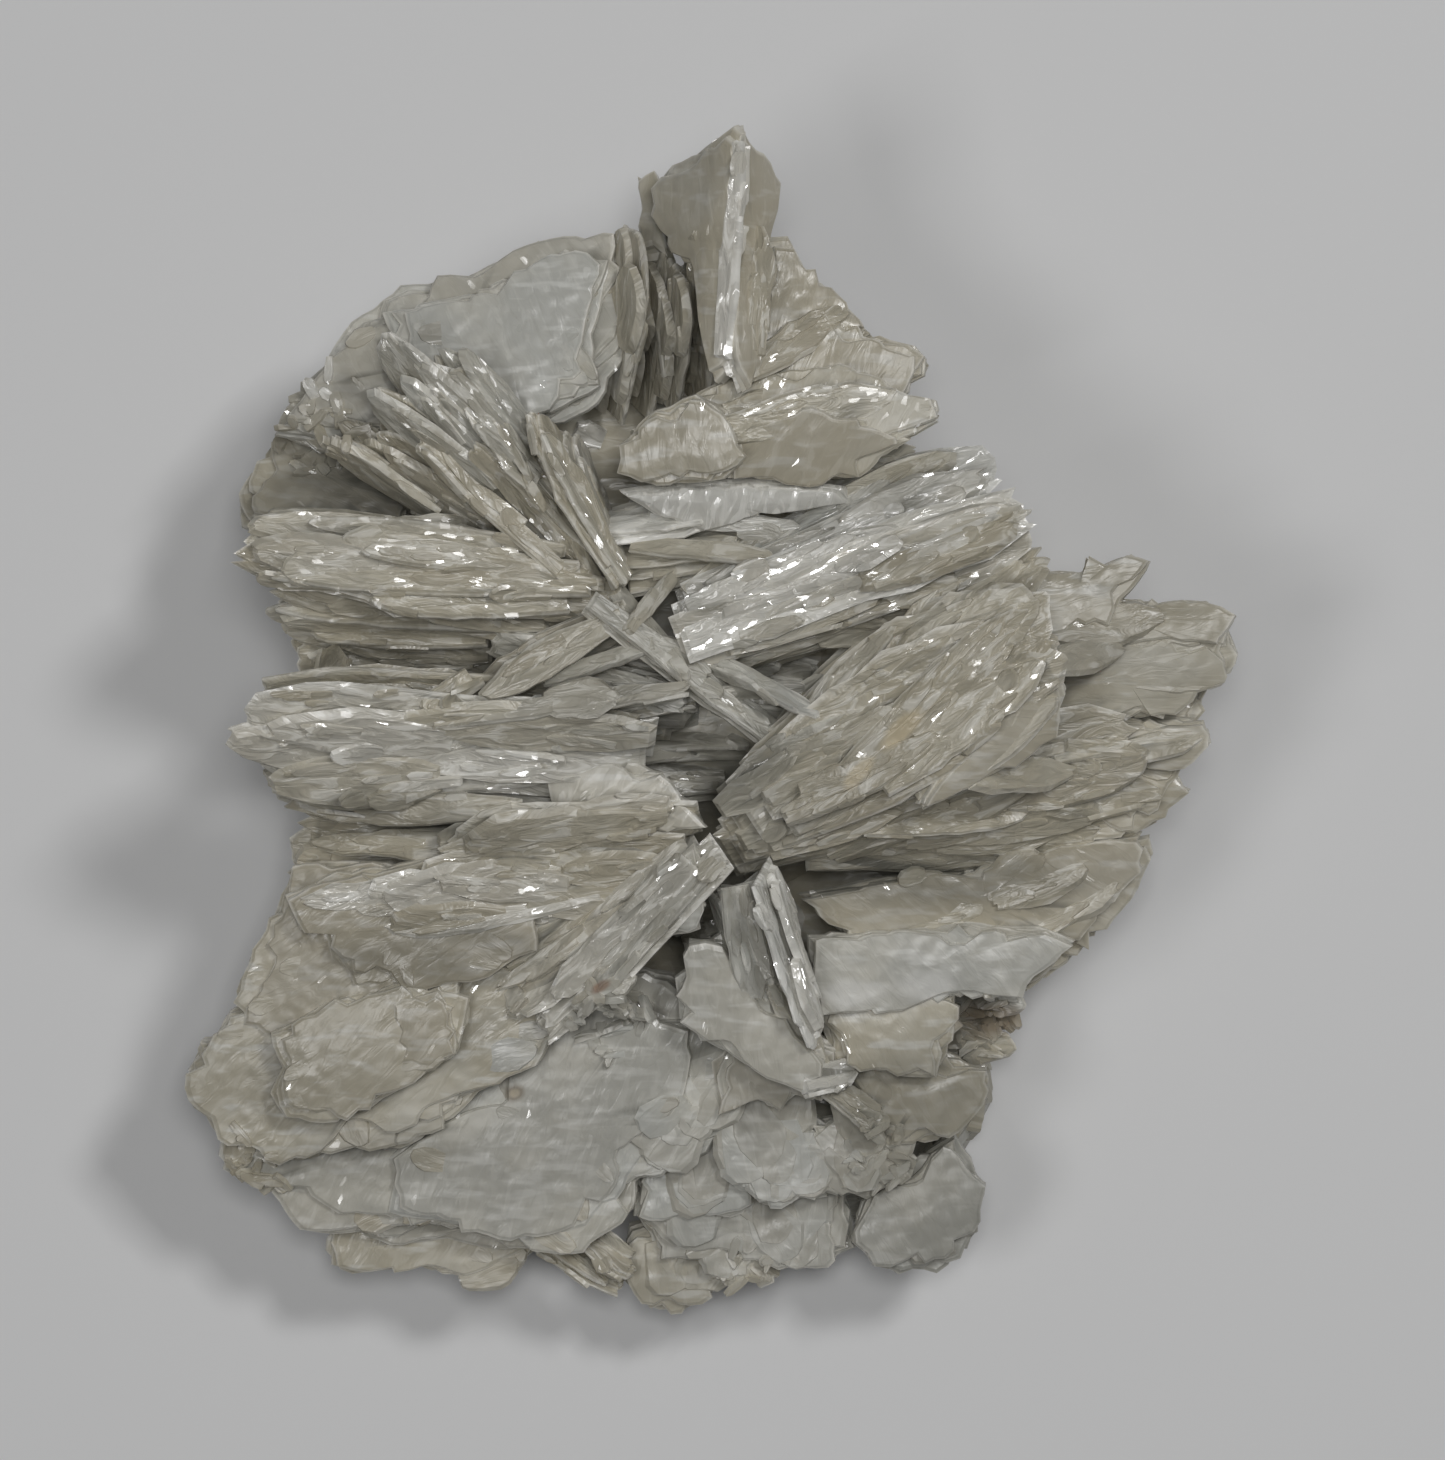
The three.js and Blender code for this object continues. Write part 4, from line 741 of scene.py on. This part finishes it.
# Small crystals -------------------------------------------
# Single small blades lie across the larger ones, most of them in the trough at the centre. A row gives the
# shape, both ends as x, y and height over what lies there, the width, the thickness and the sideways lean.
SINGLES = (
    # laths that cross the trough
    ("lath", -6, 8.4, 0.2, -1.2, 2.6, 1, 1.5, 0.7, 22),
    ("lath", -9.6, 3.4, 0.6, -1.2, 1.2, 0.9, 1.8, 0.6, -20),
    ("lath", -14, 0.4, 0.3, -1, 2.2, 0.8, 1.3, 0.5, 24),
    ("leaf", -4.8, 6.2, 0.3, -12.8, 1.6, 0.9, 2.4, 0.6, 15),
    ("lath", -3, 4.6, 0.5, -9.4, 2.4, 0.6, 1.1, 0.5, -25),
    ("lath", -1.8, 8.6, 0.3, -4.6, 5.2, 0.8, 1, 0.5, 20),
    ("lath", 0.6, 3.6, 0.4, 6.2, 0.6, 0.5, 1.2, 0.5, 25),
    ("lath", 0.4, 1.8, 0.3, 5.4, 2.2, 0.4, 1, 0.5, -20),
    ("lath", -0.6, 0.6, 0.4, -8.8, -1.2, 0.6, 1.4, 0.5, 25),
    ("lath", -1, -1.4, 0.3, -9.6, -2.2, 0.5, 1.2, 0.5, -15),
    ("lath", -1.4, 7.4, 0.5, 2.4, 10.4, 0.3, 1.1, 0.5, 10),
    ("lath", -4.4, 10.2, 0.4, 3.6, 9.4, 0.4, 1.3, 0.5, 25),
    # slanting blades at the west end of the trough
    ("lath", -13.4, 2.9, 0.6, -16, 1, 0.8, 1.1, 0.5, 10),
    ("lath", -12.6, 2.5, 0.6, -14.9, 1.1, 0.7, 0.8, 0.4, 10),
    ("scale", -21, 1.6, 0.5, -21.2, 4.4, 1, 2.2, 0.5, 10),
    ("leaf", -14, 4.4, 0.4, -21.6, 5, 0.8, 2.2, 0.5, 15),
    ("leaf", -10.6, 5.6, 0.5, -18.2, 7.2, 0.9, 1.9, 0.6, 20),
    ("leaf", -10, 9.2, 0.3, -19.4, 9.8, 0.8, 1.8, 0.5, -18),
    ("leaf", -13.6, 11.4, 0.4, -20.4, 10.4, 0.7, 2, 0.5, 12),
    ("leaf", -12, 8, 0.4, -23, 8.2, 0.7, 1.6, 0.5, 22),
    # bright-edged blades of the western fan, from its north side to its south side
    ("leaf", -8, 9.8, 0.6, -22.4, 11.4, 1, 1.7, 0.5, 30),
    ("leaf", -7.2, 8.8, 0.8, -26.6, 9.6, 1.2, 1.9, 0.5, 34),
    ("leaf", -6.6, 7.6, 0.8, -24.6, 8.4, 1.1, 1.6, 0.5, -30),
    ("leaf", -7.8, 6.8, 0.8, -19, 7, 1.1, 2.2, 0.6, -24),
    ("leaf", -9, 5.6, 0.8, -24.4, 6.6, 1, 1.6, 0.5, -32),
    ("leaf", -12.4, 4.8, 0.8, -22.6, 5.2, 1, 1.5, 0.5, -28),
    # bright blades along the diagonal ridge
    ("lath", -6.2, 8.6, 0.4, -13.4, 15.6, 0.8, 1.5, 0.5, 25),
    ("lath", -8.2, 8.6, 0.4, -16.4, 16, 0.7, 1.4, 0.5, -18),
    ("leaf", -13.6, 14.4, 0.4, -18.2, 22, 0.9, 2.6, 0.6, 12),
    ("leaf", -15.2, 12.4, 0.4, -20.8, 17.2, 0.8, 2.4, 0.6, 15),
    ("lath", -6, 16.2, 0.5, -7.6, 16.8, 0.9, 1.6, 0.7, 10),
    ("leaf", -5.4, 9, 0.3, -9.2, 16.4, 0.8, 2.2, 0.5, -20),
    # ridge of the spire and pages beside it
    ("lath", 0.8, 20.4, 0.6, 1.6, 32.6, 0.5, 1.3, 0.7, 40),
    ("leaf", -0.4, 21, 0.4, -0.8, 27.6, 0.6, 1.6, 0.5, 40),
    ("leaf", -2.2, 19.6, 0.4, -2.4, 27, 0.6, 1.8, 0.5, -35),
    ("leaf", 2.6, 20.8, 0.4, 3, 27.6, 0.6, 1.6, 0.5, -30),
    # leaves of the north-east rosette
    ("leaf", 1, 17.2, 0.3, 12.4, 20.4, 0.4, 3.4, 0.5, 8),
    ("leaf", 0, 16.2, 0.3, 10.6, 18.6, 0.5, 3, 0.5, -10),
    ("leaf", 3, 15.4, 0.3, 12.9, 17.6, 0.4, 2.6, 0.5, 12),
    ("leaf", 4.4, 14, 0.4, 11.6, 15.6, 0.4, 2, 0.5, -16),
    ("lath", -4.6, 12.6, 0.3, 7.6, 12.7, 0.5, 1.6, 0.5, 18),
    ("lath", -3.4, 11.6, 0.3, 4.2, 11.2, 0.5, 1.2, 0.5, -15),
    ("leaf", 1.6, 19.4, 0.4, 7.6, 23.4, 0.5, 2.4, 0.5, 10),
    # glittering book and the shield
    ("lath", 0.6, 6.4, 0.4, 16.6, 12, 0.5, 1.6, 0.5, 22),
    ("lath", 1.4, 8, 0.4, 15.8, 13.8, 0.5, 1.5, 0.5, -15),
    ("lath", 3, 6.2, 0.3, 14.8, 10.6, 0.5, 1.1, 0.5, 28),
    ("leaf", 4.6, -0.4, 0.4, 10.4, 5.6, 0.7, 1.3, 0.6, 30),
    ("leaf", 5.4, -0.8, 0.4, 13, 7.6, 0.6, 2.2, 0.5, 14),
    ("leaf", 7.6, -2.6, 0.4, 17.6, 6.6, 0.6, 2.8, 0.5, -12),
    ("leaf", 9.6, -3.4, 0.4, 18.6, 3.6, 0.7, 3, 0.5, 14),
    ("leaf", 11.6, -4.2, 0.4, 19.4, 1.6, 0.7, 2.4, 0.6, 10),
    ("leaf", 4, -6.4, 0.3, 14.6, -1.4, 0.6, 2, 0.5, 18),
    ("leaf", 3.4, -7.2, 0.4, 11, -4.6, 0.6, 1.6, 0.5, -15),
    # broken leaves over the east end
    ("sheet", 19, 5.2, 0.3, 25.6, 6.2, 0.5, 3, 0.5, 10),
    ("sheet", 22.6, 3.2, 0.3, 28.8, 5, 0.4, 2.6, 0.5, -8),
    ("sheet", 18.4, 3.4, 0.3, 23.4, 4.4, 0.5, 2.2, 0.4, 14),
    ("leaf", 23.8, 2.4, 0.3, 29, 2.6, 0.4, 1.6, 0.5, 12),
    ("sheet", 19, -0.8, 0.3, 24.6, 0, 0.5, 2, 0.4, -10),
    ("leaf", 21.6, -1.8, 0.3, 27.8, -0.6, 0.4, 1.8, 0.5, 14),
    ("sheet", 14.4, -3, 0.3, 20.6, -2.4, 0.5, 2.4, 0.4, 12),
    ("sheet", 18.6, -4.6, 0.3, 25.6, -3.6, 0.4, 2.6, 0.5, -10),
    ("leaf", 8.6, -5.8, 0.4, 18, -5, 0.4, 1.6, 0.4, 16),
    ("sheet", 15.4, -9.4, 0.3, 21.6, -7.8, 0.5, 3.2, 0.4, 10),
    ("sheet", 9.6, -11, 0.3, 15.6, -10.2, 0.4, 2.2, 0.4, -10),
    ("sheet", 18.4, -11.2, 0.3, 23.2, -8.8, 0.4, 2.4, 0.4, 8),
    # the north end of the shelves on the west side
    ("leaf", -9, -8.6, 0.3, -23, -9.8, 0.4, 2.6, 0.6, 14),
    ("leaf", -6, -9.2, 0.3, -18.4, -11.4, 0.4, 2.4, 0.5, -12),
    ("leaf", -10.4, -4.6, 0.3, -24, -4.4, 0.4, 2.4, 0.5, 12),
    ("leaf", -8.6, -6.6, 0.3, -22.6, -6.6, 0.4, 2.2, 0.5, -12),
    # pale blades that spread to the south
    ("lath", -1, -7.6, 0.5, -8.8, -15.2, 0.8, 2, 0.7, 14),
    ("leaf", -3, -9.4, 0.3, -12, -14.8, 0.5, 1.6, 0.5, -14),
    ("lath", 3.2, -8.6, 0.5, 6.4, -17.2, 0.8, 1.5, 0.6, 20),
    ("lath", 2.2, -9.8, 0.4, 3.4, -14.2, 0.7, 0.9, 0.5, -20),
    ("leaf", -1.4, -12.2, 0.4, 2.6, -10.2, 0.7, 1, 0.5, 15),
    ("leaf", 3.6, -14.6, 0.4, 6.8, -20, 0.7, 2, 0.5, 15),
    ("lath", 5.2, -20, 0.5, 8.2, -19.4, 0.9, 1.8, 0.7, 12),
    ("lath", 6.8, -20.6, 0.5, 10.2, -22.4, 0.6, 0.8, 0.6, 10),
    ("lath", -6.8, -15.4, 0.3, -3, -16.4, 0.5, 0.8, 0.5, 20),
    ("lath", -7.6, -17.6, 0.3, -4.2, -16.8, 0.5, 0.7, 0.5, -20),
)
DOWN = Vector((0, 0, -1))
HIGH_MM = 60
ROOT_SUNK_MM = 0.6
TIP_SUNK_MM = 0.5
OPEN_END_MM = 14
tree = skin_tree()


def above(x, y, lift):
    # a point at some height over the skin, or over nothing
    spot = tree.ray_cast(Vector((x, y, HIGH_MM)), DOWN)[0]
    return spot + Vector((0, 0, lift)) if spot else Vector((x, y, OPEN_END_MM))


for row, (form, x0, y0, lift0, x1, y1, lift1, width, thickness, roll) in enumerate(SINGLES):
    root, tip = above(x0, y0, lift0 - ROOT_SUNK_MM), above(x1, y1, lift1 - TIP_SUNK_MM)
    side = Vector((0, 0, 1)).cross((tip - root).normalized())
    towards = Vector((0, 0, 1)) + side * math.tan(math.radians(roll))
    leaf(form, root, tip, width, thickness, towards.normalized(), 1.0, 15000 + row)
grow_together("UNION")

# Splinters and scales -------------------------------------
# Thin splinters lie half sunk along the blades and point the way the blade grew. The plates on the south
# side carry rounded scales, sunk at the root and proud at the tip. In places sit druses of tiny crystals.
MOST = {"chip": 380, "scale": 80}
TRIES = 7600
SIDE_SHARE = 0.3
SHEET_SHARE = 0.1
SUNK_MM = {"chip": 0.07, "sheet": 0.2, "scale": 0.2}
SPLINTER_MM = 0.24
TILES = facing(285, 12)
# druses: middle x, y and radius
DRUSES = (
    (-22.3, 17.6, 3.4), (2, -31, 1.7), (16.2, -17.2, 2.4), (9.4, -24.4, 2), (-5.6, -16.4, 2.2),
    (-25.8, -25, 2),
)
DRUSE_CRYSTAL_MM = 0.3
CUT_Z = -2.5
tree = skin_tree()


def rests(point, normal, slack):
    # whether the surface lies within slack under a point
    spot, _, _, depth = tree.ray_cast(point + normal, -normal)
    return spot is not None and abs(depth - 1) < slack


laid = {"chip": 0, "scale": 0}
for i in range(TRIES):
    seed = 20000 + i
    over = Vector((64 * (chance(seed, 1) - 0.5), 70 * (chance(seed, 2) - 0.5), HIGH_MM))
    aim = Vector((over.x, over.y, 0))
    if chance(seed, 3) < SIDE_SHARE:
        over = facing(360 * chance(seed, 1), 60 + 28 * chance(seed, 2)) * HIGH_MM
        aim = Vector([30 * (chance(seed, k) - 0.5) for k in (4, 5, 6)])
    spot, normal, face, _ = tree.ray_cast(over, (aim - over).normalized())
    if spot is None or spot.z < CUT_Z + 1:
        continue
    ribs = cluster.data.attributes["ribs"].data[face].value
    kind = "chip" if ribs > 0.5 else "scale"
    southern = spot.y < -21 and -3 < spot.x < 9
    u = Vector(cluster.data.attributes["course"].data[face].vector)
    u = u - u.dot(normal) * normal
    if u.length < 0.8 or laid[kind] >= MOST[kind] or (kind == "scale" and not southern):
        continue
    u.normalize()
    swing = 0.3 if kind == "chip" else 1.0
    u = (u + swing * (chance(seed, 8) - 0.5) * normal.cross(u)).normalized()
    length = 1.4 + 3.6 * chance(seed, 9) ** 2
    wide = 0.35 + length * (0.08 + 0.14 * chance(seed, 11))
    proud = 0.01 + 0.11 * chance(seed, 10)
    if kind == "scale":
        length = 3.0 + 1.6 * chance(seed, 9)
        wide = length * (0.8 + 0.3 * chance(seed, 11))
        proud = 0.02 + 0.06 * chance(seed, 10)
        # the scales lie nearly parallel, like tiles
        normal = normal.lerp(TILES, 0.7).normalized()
        u = (u - u.dot(normal) * normal).normalized()
    start = spot - u * 0.6 * length
    end = spot + u * 0.4 * length
    if rests(start, normal, 0.5) and rests(end, normal, 0.35):
        form = kind
        if kind == "chip" and chance(seed, 14) < SHEET_SHARE:
            # now and then a wider broken sheet instead, lifted at its end
            form = "sheet"
            wide = 0.5 * length + 0.6
            proud = 0.1 + 0.25 * chance(seed, 10)
        root, tip = start - normal * SUNK_MM[form], end + normal * proud
        leaf(form, root, tip, wide, SPLINTER_MM, normal, ribs, seed)
        laid[kind] += 1
for row, (x, y, radius) in enumerate(DRUSES):
    for k in range(round(12 * radius)):
        seed = 60000 + 100 * row + k
        turn = 6.28 * chance(seed, 1)
        out = radius * chance(seed, 2) ** 0.5
        over = Vector((x + out * math.cos(turn), y + out * math.sin(turn), HIGH_MM))
        spot, normal, _, _ = tree.ray_cast(over, DOWN)
        if spot and normal.z > 0.3:
            lean = Vector([2 * chance(seed, j) - 1 for j in (3, 4, 5)])
            u = (lean - 0.7 * lean.dot(normal) * normal).normalized()
            if u.dot(normal) < 0:
                u = -u
            length = 0.9 + 1.3 * chance(seed, 6)
            wide = 0.5 + 0.5 * chance(seed, 7)
            towards = (normal + 0.6 * lean).normalized()
            root, tip = spot - u * 0.5 * length, spot + u * 0.45 * length
            leaf("chip", root, tip, wide, DRUSE_CRYSTAL_MM, towards, 0.35, seed)
grow_together("UNION")
for kind in shapes.values():
    for sheet in kind:
        bpy.data.objects.remove(sheet)

# Cluster --------------------------------------------------
# The specimen is one grown piece of barite, cut flat below where it broke off its rock and rests now.
# Crumbs that hang free and pockets closed all round are left out: what stays is all that joins the base.
CUTTER_MM = 100
bpy.ops.mesh.primitive_cube_add(size=CUTTER_MM, location=(0, 0, CUT_Z - 0.5 * CUTTER_MM))
hand_over(bpy.context.object)
grow_together("DIFFERENCE")
bpy.data.collections.remove(grown)

base = min(cluster.data.vertices, key=lambda vertex: vertex.co.z).index
pick(cluster)
bpy.ops.object.mode_set(mode="EDIT")
bpy.ops.mesh.select_all(action="DESELECT")
bpy.ops.object.mode_set(mode="OBJECT")
cluster.data.vertices[base].select = True
bpy.ops.object.mode_set(mode="EDIT")
bpy.ops.mesh.select_linked()
bpy.ops.mesh.select_all(action="INVERT")
bpy.ops.mesh.delete(type="VERT")
bpy.ops.object.mode_set(mode="OBJECT")

# painted shade at each point: darker the more the hollows close round it, and darker inside the shaded ovals,
# some over whole faces
HOLLOW_RAYS = ((0, 20), (120, 20), (240, 20), (60, 55), (180, 55), (300, 55))
HOLLOW_MM = 7.0
OPEN_SHARE = 0.3
# middle x, y, heading, two half lengths, how much at most; low shade also has the height that it stays below
SHADED_OVALS = (
    (-17, -4.9, 343, 8, 1, 0.7), (-12.5, -12, 350, 4, 1, 0.7), (-19, -24.4, 8, 7, 1.6, 0.5),
    (1.8, -2.7, 30, 3, 1.4, 1), (-1.6, 29, 75, 6, 1.9, 0.5), (12.5, -27.5, 0, 5, 5, 0.6),
    (12, -21, 0, 5, 3, 0.65), (-17, -13.4, 0, 5, 1.8, 0.6), (-23, 17.5, 40, 3.5, 3, 0.45),
    (6, -3.6, 30, 6, 2.2, 0.25), (26, 4.6, 0, 4, 4, 0.35), (10, 12.9, 20, 7, 1.4, 0.45),
    (6, 7.6, 20, 8, 0.8, 0.3), (-2, -9.6, 60, 2.4, 1.6, 0.45), (-2, -31.6, 0, 3.5, 1.8, 0.3),
    (-4, -1.4, 0, 3, 1.4, 0.4), (-25, -19.5, 0, 8, 4, 0.2), (-10, -24, 0, 5, 3.6, 0.15),
    (22.6, 8.6, 0, 2.6, 1.6, 0.4),
)
LOW_SHADED_OVALS = (
    ((-22, 12.4, 20, 6, 3, 0.95), 15), ((12, -8.6, 0, 9, 1.6, 0.8), 16), ((-6, 1.6, 0, 6, 2.6, 0.3), 20),
    ((-18.5, 2.4, 15, 4, 1.6, 0.4), 18), ((-3, 22, 80, 5, 3, 0.4), 17), ((0, 7.2, 0, 2.4, 1.2, 0.8), 20.5),
    ((-3, -12.6, 0, 5, 2, 0.4), 14),
)
tree = skin_tree()
ways = [facing(*ray) for ray in HOLLOW_RAYS]
painted_shade = []
for vertex in cluster.data.vertices:
    start = vertex.co + vertex.normal * 0.08
    hits = [tree.ray_cast(start, (way + 0.5 * vertex.normal).normalized(), HOLLOW_MM)[0] for way in ways]
    share = sum(hit is not None for hit in hits) / len(hits)
    low = tuple(oval for oval, top in LOW_SHADED_OVALS if start.z < top)
    oval_shade = patch(SHADED_OVALS + low, start.x, start.y)
    painted_shade.append(max(0.0, share - OPEN_SHARE) / (1 - OPEN_SHARE) + oval_shade)
spread(cluster.data, "painted_shade", "FLOAT", "POINT", painted_shade)

# to its place over the flat base, in metres; faces that meet at a slight angle shade as one
SMOOTH_BELOW = 18
TABLE_MIDDLE = (0.0, -0.04)
cluster.data.transform(Matrix.Scale(MM, 4) @ Matrix.Translation((-TABLE_MIDDLE[0], -TABLE_MIDDLE[1], -CUT_Z)))
cluster.name = "grown_cluster"
cluster.data.attributes.remove(cluster.data.attributes["course"])
pick(cluster)
bpy.ops.object.shade_smooth_by_angle(angle=math.radians(SMOOTH_BELOW))
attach(cluster, "root")
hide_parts("barite_cluster")

# Finish ---------------------------------------------------
# The mineral is cloudy grey-beige and lets light a little way in. Rims are pale and frosted, the faces
# glassy with broken lamellae along each crystal, and a few spots are white, tan or rusty.
COOL_FACE = (0.52, 0.52, 0.48, 1)
WARM_FACE = (0.505, 0.462, 0.355, 1)
PALE_CLOUD = (0.68, 0.66, 0.58, 1)
# pale streaks: a painted reflection
REFLECTED_STREAK = (0.84, 0.84, 0.80, 1)
DEEP_FACE = (0.36, 0.32, 0.24, 1)
# frosted rim, partly a painted glow
FROSTED_GLOWING_RIM = (0.90, 0.875, 0.80, 1)
DARK_FLAKE = (0.30, 0.28, 0.22, 1)
PALE_FLAKE = (0.86, 0.84, 0.77, 1)
# whiter patches: partly white crystal, partly painted light
PALE_AND_LIT_FACE = (0.90, 0.90, 0.87, 1)
# painted shade of the hollows and the shaded ovals
HOLLOW_SHADE = (0.15, 0.145, 0.12, 1)
WHITE_RIM = (0.88, 0.87, 0.83, 1)
TAN_FLAKE = (0.80, 0.67, 0.44, 1)
PALE_TAN_FLAKE = (0.80, 0.68, 0.46, 1)
RUST = (0.30, 0.16, 0.10, 1)
PIT_WALL = (0.22, 0.17, 0.11, 1)
PIT_FLOOR = (0.55, 0.48, 0.36, 1)
BROWN_HOLLOW = (0.20, 0.15, 0.10, 1)
# middle x, y, heading, two half lengths, strength, colour
STAINS = (
    (12.3, -14.7, 8, 1.6, 0.9, 0.5, WHITE_RIM), (8.2, -15, 5, 1.7, 0.8, 0.5, WHITE_RIM),
    (10.7, -0.1, 42, 1.4, 0.5, 0.5, TAN_FLAKE), (8.3, -2.6, 48, 1.1, 0.4, 0.5, PALE_TAN_FLAKE),
    (-6, -14.5, 30, 0.6, 0.25, 0.6, RUST), (-11, -20.7, 0, 0.5, 0.45, 0.7, PIT_WALL),
    (-11, -20.7, 0, 0.26, 0.22, 0.8, PIT_FLOOR), (16, -16.6, 0, 1.9, 1.1, 0.7, BROWN_HOLLOW),
)
barite = bpy.data.materials.new("cloudy_barite")
barite.use_nodes = True
links = barite.node_tree.links
shader = barite.node_tree.nodes["Principled BSDF"]


class Wire:
    # the output of a node, which can be added, subtracted and multiplied like a number
    def __init__(self, socket):
        self.socket = socket

    def __add__(self, other):
        return arithmetic("ADD", self, other)

    def __sub__(self, other):
        return arithmetic("SUBTRACT", self, other)

    def __rsub__(self, other):
        return arithmetic("SUBTRACT", other, self)

    def __mul__(self, other):
        return arithmetic("MULTIPLY", self, other)

    __radd__ = __add__
    __rmul__ = __mul__


def node(kind, settings, values, out=0):
    # a new node with its settings and its inputs, each a value or a wire; out is the output that is used
    made = barite.node_tree.nodes.new(kind)
    for name, value in settings.items():
        setattr(made, name, value)
    for name, value in values.items():
        if isinstance(value, Wire):
            links.new(value.socket, made.inputs[name])
        else:
            made.inputs[name].default_value = value
    return Wire(made.outputs[out])


def arithmetic(operation, first, second):
    return node("ShaderNodeMath", {"operation": operation}, {0: first, 1: second})


def vector(operation, values, out=0):
    return node("ShaderNodeVectorMath", {"operation": operation}, values, out)


def attribute(name, out=2):
    return node("ShaderNodeAttribute", {"attribute_name": name}, {}, out)


def mask(value, low, high):
    # 0 at low, 1 at high
    return node("ShaderNodeMapRange", {"clamp": True}, {0: value, 1: low, 2: high, 3: 0.0, 4: 1.0})


def noise(place, scale, detail=3.0, roughness=0.5):
    values = {"Vector": place, "Scale": scale, "Detail": detail, "Roughness": roughness}
    return node("ShaderNodeTexNoise", {}, values)


def blend(factor, first, second):
    return node("ShaderNodeMix", {"data_type": "RGBA"}, {0: factor, 6: first, 7: second}, 2)


def stretched(place, scale, turn=0.0):
    return node("ShaderNodeMapping", {}, {"Vector": place, "Rotation": (0, 0, turn), "Scale": scale})


def stain(x, y, heading, long, wide):
    # a soft oval seen from above, in millimetres: its middle, the way it points and its two half lengths
    inside = node("ShaderNodeMapping", {"vector_type": "TEXTURE"}, {
        "Vector": body, "Location": (x * MM, y * MM, 0), "Rotation": (0, 0, math.radians(heading)),
        "Scale": (long * MM, wide * MM, 1)})
    return mask(vector("LENGTH", {0: inside}, 1) + fray, 1.25, 0.65)


body = node("ShaderNodeTexCoord", {}, {}, 3)
rim, tint, ribs = attribute("rim"), attribute("tint"), attribute("ribs")
grey, white, glitter, painted_shade = [attribute(name) for name in ("grey", "white", "glitter", "painted_shade")]
grain = attribute("grain", 1)

# cool and warm faces, pale clouds, and pale streaks over the plates that are painted reflections
fray = noise(body, 700.0, 1.0) * 0.9 - 0.45
clouds = noise(body, 150.0, 3.0, 0.6)
warm = mask(clouds * 0.4 + 0.35 - grey * 0.35, 0.20, 0.55)
colour = blend(warm, COOL_FACE, WARM_FACE)
colour = blend(mask(clouds, 0.42, 0.68) * 0.65, colour, PALE_CLOUD)
reflected_streaks = mask(noise(stretched(body, (300, 1300, 600), -0.72), 1.0, 2.0, 0.6), 0.55, 0.66) * (1.0 - ribs)
colour = blend(reflected_streaks * 0.6, colour, REFLECTED_STREAK)

# no two crystals are quite alike; rims are frosted and carry a painted glow of light through their thin
# edges, and flakes lie along each crystal
colour = blend(tint * 0.45, colour, DEEP_FACE)
frost_and_glow = mask(rim + fray * 0.8, 0.45, 1.0)
colour = blend(frost_and_glow * 0.8, colour, FROSTED_GLOWING_RIM)
flakes = node("ShaderNodeTexNoise", {"noise_dimensions": "2D"}, {
    "Vector": stretched(grain, (0.45, 1.5, 1.0)), "Scale": 1.0, "Detail": 3.0, "Roughness": 0.6,
    "Distortion": 0.6})
colour = blend(mask(flakes, 0.46, 0.34) * (0.04 + 0.31 * ribs), colour, DARK_FLAKE)
colour = blend(mask(flakes, 0.56, 0.64) * (0.04 + 0.46 * ribs), colour, PALE_FLAKE)

# whiter patches, partly white crystal and partly painted light and painted sheen on lit faces; the stains;
# and painted shade in the hollows
colour = blend(white * 0.45, colour, PALE_AND_LIT_FACE)
for x, y, heading, long, wide, strength, paint in STAINS:
    colour = blend(stain(x, y, heading, long, wide) * strength, colour, paint)
# painted shade: darker in the hollows and inside the shaded ovals
colour = blend(painted_shade * (0.62 + fray * 0.5), colour, HOLLOW_SHADE)
links.new(colour.socket, shader.inputs["Base Color"])

# relief: flaky lamellae along each blade, soft swells and a fine tooth
relief = (0.08 + ribs) * flakes * 1.25 + noise(body, 230.0, 0.0) * 2.0 + noise(body, 1300.0, 0.0) * 0.55
bump = node("ShaderNodeBump", {}, {"Height": relief, "Strength": 0.6, "Distance": 0.0003})

# tiny facets that glint: sparse everywhere, crowded on some crystals
small = stretched(grain, (1.8, 4.0, 1.0))
facets = node("ShaderNodeTexVoronoi", {"voronoi_dimensions": "2D"}, {"Vector": small, "Scale": 1.0}, 1)
lot = node("ShaderNodeSeparateXYZ", {}, {0: facets}, 2)
crowd = glitter * mask(clouds + fray * 0.3, 0.40, 0.56) * 0.40
shiny = mask(lot + crowd, 0.984, 0.990) * mask(flakes, 0.44, 0.50)
sheen = white * mask(flakes, 0.50, 0.57)

# those facets are one cleavage, so all of them face nearly the same way
CLEAVAGE = (0.19, 0.16, 0.97)
strayed = vector("SCALE", {0: vector("SUBTRACT", {0: facets, 1: (0.5, 0.5, 0.5)}), "Scale": 0.2})
cleaved = vector("ADD", {0: strayed, 1: CLEAVAGE})
share = shiny * 0.85 + sheen * 0.7
normal = node("ShaderNodeMix", {"data_type": "VECTOR"}, {0: share, 4: bump, 5: cleaved}, 1)
links.new(vector("NORMALIZE", {0: normal}).socket, shader.inputs["Normal"])

matt = 0.26 + 0.20 * mask(clouds, 0.35, 0.65) + 0.12 * frost_and_glow - 0.2 * shiny - 0.16 * sheen
links.new(matt.socket, shader.inputs["Roughness"])
shader.inputs["IOR"].default_value = 1.64
shader.subsurface_method = "BURLEY"
shader.inputs["Subsurface Weight"].default_value = 0.2
shader.inputs["Subsurface Radius"].default_value = (1.0, 0.95, 0.85)
shader.inputs["Subsurface Scale"].default_value = 0.002
cluster.data.materials.clear()
cluster.data.materials.append(barite)
